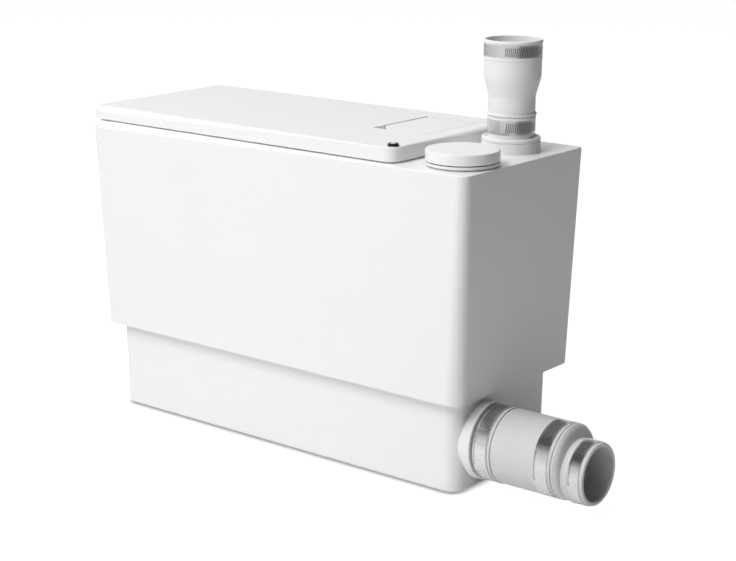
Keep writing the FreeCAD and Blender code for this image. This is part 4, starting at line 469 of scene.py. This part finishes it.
# Electrical parts
# The motor's capacitor and terminal box stand on the floor, and the lead's gland is screwed into
# the back wall with a nut inside.
dress(DRAWN_CAN, "capacitor")
dress(GREY_PLASTIC, "terminal_box", "cable_gland", "gland_nut")


# Discharge collar and coupling
# A white moulded collar on the deck surrounds the outlet. A stepped coupling of pale rubber is
# pushed over the outlet's spigot and widens to take the rising pipe.
UP = Vector((0.0, 0.0, 1.0))
RIGHT = Vector((1.0, 0.0, 0.0))
TURNED_SIDES = 160
ROUNDING_STEPS = 5
CREASE = math.radians(38.0)
WELD = 0.001 * MM


def node_box(name):
    """Lowest and highest corner of a node in millimetres, to the nearest tenth."""
    return [Vector([round(value / MM, 1) for value in corner]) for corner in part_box(name)]


def soft_run(corners):
    """Closed run of (along, radius, drop) points, each corner rounded by its own amount."""
    places = []
    roundings = []
    for along, radius, rounding, *drop in corners:
        places.append(Vector((along, radius, *(drop or [0.0]))))
        roundings.append(rounding)
    run = []
    for number, here in enumerate(places):
        before = places[number - 1] - here
        after = places[(number + 1) % len(places)] - here
        reach = min(roundings[number], before.length / 2, after.length / 2)
        if reach <= 0.0:
            run.append(here)
            continue
        start = here + before.normalized() * reach
        end = here + after.normalized() * reach
        for step in range(ROUNDING_STEPS + 1):
            share = step / ROUNDING_STEPS
            run.append(start * (1 - share) ** 2 + here * 2 * share * (1 - share) + end * share ** 2)
    return run


def radial(axis, angle):
    """Unit vector that turns about an axis."""
    if axis is UP:
        return Vector((math.cos(angle), math.sin(angle), 0.0))
    return Vector((0.0, math.cos(angle), math.sin(angle)))


def add_turned(form, origin, axis, corners):
    """Adds a body of revolution to a mesh under way; a drop lowers its centre."""
    run = soft_run(corners)
    rings = []
    for side in range(TURNED_SIDES):
        outward = radial(axis, 2 * math.pi * side / TURNED_SIDES)
        rings.append([form.verts.new((origin + axis * p.x + outward * p.y - UP * p.z) * MM) for p in run])
    for side in range(TURNED_SIDES):
        ring = rings[side]
        following = rings[(side + 1) % TURNED_SIDES]
        for place in range(len(run)):
            form.faces.new((ring[place - 1], ring[place], following[place], following[place - 1]))


def finish_mesh(name, form, material, slot_name, body, *replaced):
    """Turns a mesh under way into a piece that stands for its nodes."""
    bmesh.ops.remove_doubles(form, verts=form.verts, dist=WELD)
    bmesh.ops.recalc_face_normals(form, faces=form.faces)
    mesh = bpy.data.meshes.new(name)
    form.to_mesh(mesh)
    form.free()
    mesh.shade_smooth()
    mesh.set_sharp_from_angle(angle=CREASE)
    mesh.materials.append(material)
    piece = bpy.data.objects.new(name, mesh)
    bpy.context.scene.collection.objects.link(piece)
    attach(piece, body)
    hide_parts(*replaced)
    return piece


def turned_piece(name, origin, axis, corners, material, slot_name, body, *replaced):
    """Piece of one body of revolution."""
    form = bmesh.new()
    add_turned(form, origin, axis, corners)
    return finish_mesh(name, form, material, slot_name, body, *replaced)


PALE_RUBBER = finished("pale_rubber", MOULDED_SKIN,
                       {"Color": (0.85, 0.845, 0.855, 1.0), "Flow Color": (0.82, 0.815, 0.826, 1.0),
                        "Roughness": 0.5, "Sheen Variation": 0.1, "Grain Scale": 1100.0},
                       relief=0.04 * MM)
collar_low, collar_high = node_box("discharge_collar")
DECK = collar_low.z
DISCHARGE = Vector((*((collar_low + collar_high) / 2).xy, DECK))
# Each corner of an outline is its place along the axis, its radius, its rounding and, where it has
# one, its drop.
COLLAR_OUTLINE = (
    (0.0, 15.64, 0.0), (0.0, 22.4, 0.0), (8.0, 22.0, 0.3), (8.0, 21.4, 0.0), (8.5, 21.4, 0.0),
    (8.5, 22.0, 0.3), (11.3, 22.0, 1.3), (11.3, 19.4, 0.9), (10.3, 19.4, 0.2), (10.3, 15.64, 0.0))
CUFF_AND_LIPS = (
    (10.3, 15.6, 0.0), (10.3, 17.3, 0.3), (24.4, 17.3, 0.0), (24.4, 18.0, 0.3), (26.7, 18.0, 0.5),
    (26.7, 17.3, 0.1), (27.3, 17.3, 0.1), (27.3, 18.5, 0.5), (29.2, 18.5, 0.5), (29.2, 17.1, 0.1),
    (29.7, 17.1, 0.1), (30.0, 17.5, 0.2))
NECK_AND_BELL = (
    (41.5, 17.5, 1.2), (55.8, 21.36, 2.0), (68.7, 21.36, 0.2), (68.7, 21.7, 0.25), (71.0, 21.7, 0.25),
    (71.0, 21.0, 0.0), (79.8, 21.0, 0.0), (79.8, 21.3, 0.0), (80.9, 21.3, 0.2), (80.9, 21.9, 0.4),
    (83.2, 21.9, 0.9))
COUPLING_BORE = (
    (83.2, 20.0, 0.5), (56.2, 20.0, 2.0), (41.5, 14.6, 2.0), (31.0, 14.6, 0.2), (31.0, 15.6, 0.0))
turned_piece("outlet_collar", DISCHARGE, UP, COLLAR_OUTLINE, WHITE_PLASTIC, "white_plastic",
             "pump_unit", "discharge_collar")
turned_piece("outlet_coupling", DISCHARGE, UP, CUFF_AND_LIPS + NECK_AND_BELL + COUPLING_BORE,
             PALE_RUBBER, "pale_rubber", "pump_unit", "discharge_coupling")


# Side inlet
# A white boss on the tank holds a grey plastic spigot with a hanging rubber flap inside.
# A pale rubber sleeve is pushed over the spigot, and a stepped adapter of the same rubber follows,
# whose small end sits low so that the bottoms are level.
# The sleeve and adapter take the coupling's pale rubber painted darker, as painted shade under the housing's
# overhang.
PALE_RUBBER_PAINTED_SHADE = finished("pale_rubber_painted_shade", MOULDED_SKIN,
                       {"Color": (0.67, 0.66, 0.675, 1.0), "Flow Color": (0.63, 0.62, 0.635, 1.0),
                        "Roughness": 0.45, "Sheen Variation": 0.1, "Grain Scale": 1100.0},
                       relief=0.04 * MM)
bands_low, bands_high = node_box("inlet_clamp_bands")
SIDE_INLET = Vector((0.0, *((bands_low + bands_high) / 2).yz))
SLEEVE_X = node_box("inlet_sleeve")[0].x
SLEEVE_OUTLINE = (
    (SLEEVE_X, 25.0, 0.0), (SLEEVE_X, 27.9, 0.4), (198.3, 27.9, 0.0), (198.3, 27.3, 0.0), (198.9, 27.3, 0.0),
    (198.9, 28.6, 0.5), (201.1, 28.6, 0.5), (201.1, 27.4, 0.0), (201.7, 27.4, 0.0), (201.7, 28.1, 0.4),
    (237.9, 28.0, 0.0), (237.9, 27.5, 0.0), (250.7, 27.5, 0.3), (250.7, 25.0, 0.0))
ADAPTER_DROP = 4.55     # the small end's axis lies lower by this much
SHOULDER_X = 254.0
SHOULDER_DEPTH = 4.0
SMALL_END_R = 23.0
SHOULDER_FALL = 4.6
SHOULDER_STEPS = 6
LARGE_END = [
    (225.4, 21.5, 0.0), (225.4, 25.0, 0.3), (251.0, 25.0, 0.0), (251.0, 28.1, 0.4), (252.2, 28.1, 0.4),
    (252.2, 26.9, 0.1), (252.9, 26.9, 0.1), (252.9, 28.1, 0.4), (SHOULDER_X, 28.0, 0.5)]
SMALL_END = [
    (SHOULDER_X + SHOULDER_DEPTH, SMALL_END_R, 0.6), (261.96, SMALL_END_R, 0.3), (261.96, 23.8, 0.5),
    (263.96, 23.8, 0.5), (263.96, SMALL_END_R, 0.0), (273.0, SMALL_END_R, 0.0), (273.0, 22.9, 0.0),
    (276.0, 22.9, 1.2), (276.0, 20.0, 0.9), (256.0, 20.0, 0.6)]
LARGE_BORE_END = [(251.0, 21.5, 0.6)]


def shoulder():
    """Quarter round between the adapter's ends, which goes down as it goes in."""
    corners = []
    for step in range(1, SHOULDER_STEPS):
        turn = math.pi / 2 * step / SHOULDER_STEPS
        corners.append((SHOULDER_X + SHOULDER_DEPTH * math.sin(turn),
                        SMALL_END_R + SHOULDER_FALL * math.cos(turn), 0.0,
                        ADAPTER_DROP * (1 - math.cos(turn))))
    return corners


turned_piece("inlet_rubber_sleeve", SIDE_INLET, RIGHT, SLEEVE_OUTLINE,
             PALE_RUBBER_PAINTED_SHADE, "pale_rubber", "pump_unit", "inlet_sleeve")
lowered_end = [(*corner, ADAPTER_DROP) for corner in SMALL_END]
adapter_outline = LARGE_END + shoulder() + lowered_end + LARGE_BORE_END
turned_piece("inlet_rubber_adapter", SIDE_INLET, RIGHT, adapter_outline,
             PALE_RUBBER_PAINTED_SHADE, "pale_rubber", "pump_unit", "inlet_adapter")
dress(GREY_PLASTIC, "side_spigot")
dress(BLACK_RUBBER, "inlet_flap")
dress(STAINLESS, "inlet_flap_pin")


# Hose clamps
# Five worm-drive clamps of rolled stainless strip. Each band has a row of slanted slots for the
# worm, which sits with its screw in a small folded housing on the side away from the viewer.
BAND_THICKNESS = 0.5
BAND_ROOM = 0.1        # the band's inside stands off the rubber by this much
SLOT_PITCH = 1.35
SLOT_MARGIN = 0.15     # share of the band's width left whole at each edge
SLOT_SLANT = 0.9
SLOT_FLOOR = 0.2
SLOT_ROW = 1
SLOT_MATERIAL = 1
UPRIGHT_WINDOW = (0.80, 0.32)     # where the row of slots starts and its length, in turns
LYING_WINDOW = (0.23, 0.165)
# Each band is its start along the axis, its width, the radius of its seat and the drop of its axis.
UPRIGHT_BANDS = ((71.0, 8.8, 21.0, 0.0), (14.3, 10.1, 17.3, 0.0))
LYING_BANDS = ((186.44, 11.4, 27.9, 0.0), (237.94, 11.4, 27.5, 0.0), (264.0, 9.0, 23.0, ADAPTER_DROP))
MARKS_START = 0.6      # the marks lie between these distances from a side band's start
MARKS_END = 1.9
MARKS_PER_RADIAN = 17.0
MARK_WIDTH = 0.42      # share of each mark's pitch
MARKS_FROM = math.radians(-22.0)
MARKS_TO = math.radians(27.0)
MARK_COLOR = (0.06, 0.06, 0.06, 1.0)


def slotted(column, columns, window):
    """True where a column of the band is a slot, which is every other one in its window."""
    past_start = (column / columns - window[0]) % 1.0
    return column % 2 == 1 and past_start <= window[1]


def add_band(form, origin, axis, start, width, seat_r, drop, window):
    """Adds one thin band with its pressed slots to a mesh under way."""
    inner = seat_r + BAND_ROOM
    columns = 2 * round(2 * math.pi * inner / SLOT_PITCH)
    levels = (0.0, SLOT_MARGIN * width, (1 - SLOT_MARGIN) * width, width)

    def corner(radius, row, column):
        shift = SLOT_SLANT * (levels[row] / width - 0.5) / inner
        outward = radial(axis, 2 * math.pi * column / columns + shift)
        return form.verts.new((origin + axis * (start + levels[row]) + outward * radius - UP * drop) * MM)

    sheets = [[[corner(radius, row, column) for column in range(columns)] for row in range(len(levels))]
              for radius in (inner, inner + BAND_THICKNESS)]
    for column in range(columns):
        after = (column + 1) % columns
        for row in range(len(levels) - 1):
            places = ((row, column), (row, after), (row + 1, after), (row + 1, column))
            form.faces.new([sheets[0][r][c] for r, c in reversed(places)])
            rim = [sheets[1][r][c] for r, c in places]
            if row != SLOT_ROW or not slotted(column, columns, window):
                form.faces.new(rim)
                continue
            # The slot's bottom takes the painted shade.
            bottom = [corner(inner + SLOT_FLOOR, r, c) for r, c in places]
            form.faces.new(bottom).material_index = SLOT_MATERIAL
            for number in range(len(rim)):
                form.faces.new((rim[number - 1], rim[number], bottom[number], bottom[number - 1]))
        for row in (0, len(levels) - 1):
            form.faces.new((sheets[0][row][column], sheets[0][row][after],
                            sheets[1][row][after], sheets[1][row][column]))


UPRIGHT_STRIP = finished("upright_steel_strip", DRAWN_METAL,
                         {"Color": (0.77, 0.757, 0.745, 1.0), "Line Color": (0.73, 0.718, 0.706, 1.0),
                          "Roughness": 0.3, "Line Stretch": (50.0, 50.0, 2600.0)},
                         relief=0.0015 * MM, metallic=1.0)
LYING_STRIP = finished("lying_steel_strip", DRAWN_METAL,
                       {"Color": (0.77, 0.757, 0.745, 1.0), "Line Color": (0.73, 0.718, 0.706, 1.0),
                        "Roughness": 0.28, "Line Stretch": (2600.0, 50.0, 50.0)},
                       relief=0.0015 * MM, metallic=1.0)
# Dark steel in the slots' bottoms is painted shade; their depth alone leaves them pale.
SLOT_PAINTED_SHADE = finished("slot_painted_shade", DRAWN_METAL,
                      {"Color": (0.26, 0.255, 0.25, 1.0), "Line Color": (0.22, 0.216, 0.212, 1.0),
                       "Roughness": 0.5, "Line Stretch": (900.0, 900.0, 900.0)},
                      relief=0.004 * MM, metallic=1.0)


def add_plain_marks(material):
    """Row of short plain marks beside the near edge of each side clamp."""
    tree = material.node_tree
    shader = next(node for node in tree.nodes if node.type == "BSDF_PRINCIPLED")
    steel = shader.inputs["Base Color"].links[0].from_socket
    place = tree.nodes.new("ShaderNodeSeparateXYZ")
    tree.links.new(tree.nodes.new("ShaderNodeTexCoord").outputs["Object"], place.inputs[0])
    across = add_math(tree, "SUBTRACT", SIDE_INLET.y * MM, place.outputs["Y"])
    height = add_math(tree, "SUBTRACT", place.outputs["Z"], SIDE_INLET.z * MM)
    angle = add_math(tree, "ARCTAN2", height, across)
    beat = add_math(tree, "FRACT", add_math(tree, "MULTIPLY", angle, MARKS_PER_RADIAN), 0.0)
    stroke = add_math(tree, "LESS_THAN", beat, MARK_WIDTH)
    low = add_math(tree, "GREATER_THAN", angle, MARKS_FROM)
    high = add_math(tree, "LESS_THAN", angle, MARKS_TO)
    strip = None
    for start, *_ in LYING_BANDS:
        past = add_math(tree, "GREATER_THAN", place.outputs["X"], (start + MARKS_START) * MM)
        short = add_math(tree, "LESS_THAN", place.outputs["X"], (start + MARKS_END) * MM)
        inside = add_math(tree, "MULTIPLY", past, short)
        strip = inside if strip is None else add_math(tree, "MAXIMUM", strip, inside)
    mask = add_math(tree, "MULTIPLY", add_math(tree, "MULTIPLY", stroke, strip),
                    add_math(tree, "MULTIPLY", low, high))
    marked = tree.nodes.new("ShaderNodeMix")
    marked.data_type = "RGBA"
    tree.links.new(mask, marked.inputs["Factor"])
    tree.links.new(steel, marked.inputs["A"])
    marked.inputs["B"].default_value = MARK_COLOR
    tree.links.new(marked.outputs["Result"], shader.inputs["Base Color"])


def band_piece(name, origin, axis, bands, window, material, replaced):
    """Piece of several bands, whose slots' bottoms take a dark steel as painted shade."""
    form = bmesh.new()
    for start, width, seat_r, drop in bands:
        add_band(form, origin, axis, start, width, seat_r, drop, window)
    piece = finish_mesh(name, form, material, "stainless_steel", "pump_unit", replaced)
    piece.data.materials.append(SLOT_PAINTED_SHADE)


add_plain_marks(LYING_STRIP)
band_piece("coupling_bands", DISCHARGE, UP, UPRIGHT_BANDS, UPRIGHT_WINDOW, UPRIGHT_STRIP,
           "coupling_clamp_bands")
band_piece("inlet_bands", SIDE_INLET, RIGHT, LYING_BANDS, LYING_WINDOW, LYING_STRIP, "inlet_clamp_bands")
dress(STAINLESS, "clamp_worm_housings", "clamp_worm_screws")


# Spare inlet
# A plain white moulded cap plugs the second inlet on the deck, on a low ring with a narrower foot.
# A flat rubber seal makes the dark line under it, and a leaning grey duct leads down to the tank.
CAP_PLACE = Vector((159.1, -37.9, DECK))
PLUG_BOTTOM = -2.8
CAP_UNDERSIDE = 4.0
CAP_TOP = 12.0
CAP_R = 26.9
PLUG_R = 19.7
CAP_OUTLINE = (
    (CAP_UNDERSIDE, 0.0, 0.0), (PLUG_BOTTOM, 17.5, 0.0), (PLUG_BOTTOM, PLUG_R, 0.4),
    (CAP_UNDERSIDE, PLUG_R, 0.0), (CAP_UNDERSIDE, CAP_R, 0.3), (CAP_TOP, CAP_R, 1.1), (CAP_TOP, 0.0, 0.0))
turned_piece("round_cap", CAP_PLACE, UP, CAP_OUTLINE, WHITE_PLASTIC, "white_plastic", "cap", "inlet_cap")
dress(BLACK_RUBBER, "cap_seal")
dress(GREY_PLASTIC, "inlet_duct")


# Lid, hatch and filter
# The thick white lid covers most of the top and is held by one round-headed steel screw.
# A hinged hatch with a corner left open for a finger closes the filter's tray above the vent duct.
HATCH_PLAY = 0.1       # the hatch's ends stand back from the node's by this much
hatch_low, hatch_high = node_box("filter_hatch")
HATCH_LEFT = hatch_low.x
HATCH_RIGHT = hatch_high.x
HATCH_FRONT = hatch_low.y + HATCH_PLAY
HATCH_BACK = hatch_high.y - HATCH_PLAY
HATCH_TOP = hatch_high.z
HATCH_WAIST = 252.4
HATCH_BOTTOM = 251.3
UNDERSIDE_RIGHT = 103.7
NOTCH_X = 68.12        # the notch for a finger cuts the corner between these places
NOTCH_Y = 6.475
# The top falls off to the edges: pairs of the distance from the edge and the fall there.
HATCH_FALL = ((0.0, 1.35), (0.08, 1.17), (0.3, 1.03), (0.8, 0.93), (3.0, 0.72), (6.0, 0.44), (9.0, 0.22),
              (11.5, 0.09), (14.0, 0.02), (17.0, 0.0))
CORNER_FALL = (1.0, 1.0, 1.0, 0.35, 0.45)     # share of the fall at each corner
pin_low, pin_high = node_box("hatch_pin")
HINGE = Vector(((pin_low.x + pin_high.x) / 2, HATCH_FRONT, (pin_low.z + pin_high.z) / 2))
HINGE_BARREL_R = 2.2
HINGE_BORE_R = 1.04
HINGE_SIDES = 32
SCREW_PLACE = Vector((114.4, -60.8, 0.0))
SCREW_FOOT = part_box("lid_screw")[0].z / MM
SCREW_SEAT = 251.55
SHANK_R = 1.6
HEAD_R = 4.45
DOME_R = 2.3
HIGHLIGHT_MATERIAL = 1
SCREW_OUTLINE = (
    (SCREW_FOOT, 0.0, 0.0), (SCREW_FOOT, SHANK_R, 0.3), (SCREW_SEAT, SHANK_R, 0.0),
    (SCREW_SEAT, HEAD_R, 0.2), (254.6, HEAD_R, 0.4), (256.1, 3.9, 0.5), (256.6, 3.3, 0.3),
    (255.9, 2.7, 0.0), (255.9, DOME_R, 0.0), (256.4, 2.1, 0.3), (256.8, 1.2, 0.4), (256.8, 0.0, 0.0))


def hatch_outline(right):
    """Corners of the hatch from the notch round to the notch, with its right edge at a given place."""
    return ((NOTCH_X, HATCH_FRONT), (right, HATCH_FRONT), (right, HATCH_BACK), (HATCH_LEFT, HATCH_BACK),
            (HATCH_LEFT, NOTCH_Y))


def inset(outline, amount):
    """Convex outline moved in by an amount on every side."""
    lines = []
    for number, first in enumerate(outline):
        second = outline[(number + 1) % len(outline)]
        along = (Vector(second) - Vector(first)).normalized()
        inward = Vector((-along.y, along.x))
        lines.append((Vector(first) + inward * amount, along))
    moved = []
    for number, (place, along) in enumerate(lines):
        before, before_along = lines[number - 1]
        between = before_along.cross(along)
        share = (place - before).cross(along) / between
        moved.append(before + before_along * share)
    return moved


def add_tube(form, origin, length, outer, inner, sides):
    """Adds a tube along Y to a mesh under way."""
    rings = []
    for along, radius in ((0.0, outer), (length, outer), (length, inner), (0.0, inner)):
        ring = []
        for side in range(sides):
            angle = 2 * math.pi * side / sides
            ring.append(form.verts.new((origin + Vector((radius * math.cos(angle), along,
                                                         radius * math.sin(angle)))) * MM))
        rings.append(ring)
    for number, ring in enumerate(rings):
        following = rings[(number + 1) % len(rings)]
        for side in range(sides):
            after = (side + 1) % sides
            form.faces.new((ring[side], ring[after], following[after], following[side]))


hatch_form = bmesh.new()
edge = hatch_outline(HATCH_RIGHT)
levels = [[(x, y, HATCH_BOTTOM) for x, y in hatch_outline(UNDERSIDE_RIGHT)],
          [(x, y, HATCH_WAIST) for x, y in edge]]
for amount, fall in HATCH_FALL:
    levels.append([(place.x, place.y, HATCH_TOP - fall * share)
                   for place, share in zip(inset(edge, amount), CORNER_FALL)])
rings = [[hatch_form.verts.new(Vector(place) * MM) for place in level] for level in levels]
for low, high in zip(rings, rings[1:]):
    for corner in range(len(low)):
        after = (corner + 1) % len(low)
        hatch_form.faces.new((low[corner], low[after], high[after], high[corner]))
hatch_form.faces.new(rings[-1])
hatch_form.faces.new(list(reversed(rings[0])))
add_tube(hatch_form, HINGE, HATCH_BACK - HATCH_FRONT, HINGE_BARREL_R, HINGE_BORE_R, HINGE_SIDES)
finish_mesh("hinged_hatch", hatch_form, WHITE_PLASTIC, "white_plastic", "hatch", "filter_hatch")

# The head's steel is painted dark as shade round its rim, and the dome's middle is painted pale as a
# highlight.
SCREW_PAINTED_SHADE = finished("screw_head_painted_shade", DRAWN_METAL,
                       {"Color": (0.09, 0.09, 0.092, 1.0), "Line Color": (0.06, 0.06, 0.062, 1.0),
                        "Roughness": 0.3, "Line Stretch": (300.0, 300.0, 300.0)},
                       relief=0.004 * MM, metallic=1.0)
SCREW_PAINTED_HIGHLIGHT = finished("screw_head_painted_highlight", DRAWN_METAL,
                          {"Color": (0.9, 0.9, 0.9, 1.0), "Line Color": (0.84, 0.84, 0.845, 1.0),
                           "Roughness": 0.3, "Line Stretch": (300.0, 300.0, 300.0)},
                          relief=0.004 * MM, metallic=0.4)
lid_screw_head = turned_piece("domed_lid_screw", SCREW_PLACE, UP, SCREW_OUTLINE, SCREW_PAINTED_SHADE,
                              "stainless_steel", "lid_assembly", "lid_screw")
# The facets at the dome's middle take the painted highlight.
for facet in lid_screw_head.data.polygons:
    outward = (facet.center - SCREW_PLACE * MM).xy.length
    if facet.center.z > SCREW_SEAT * MM and outward < DOME_R * MM:
        facet.material_index = HIGHLIGHT_MATERIAL
lid_screw_head.data.materials.append(SCREW_PAINTED_HIGHLIGHT)

FILTER_FLEECE = finished("charcoal_fleece", MOULDED_SKIN,
                         {"Color": (0.05, 0.05, 0.052, 1.0), "Flow Color": (0.025, 0.025, 0.027, 1.0),
                          "Roughness": 0.9, "Grain Scale": 420.0}, relief=0.6 * MM)
dress(WHITE_PLASTIC, "lid")
dress(STAINLESS, "hatch_pin")
dress(FILTER_FLEECE, "filter_cartridge")
dress(GREY_PLASTIC, "vent_duct")
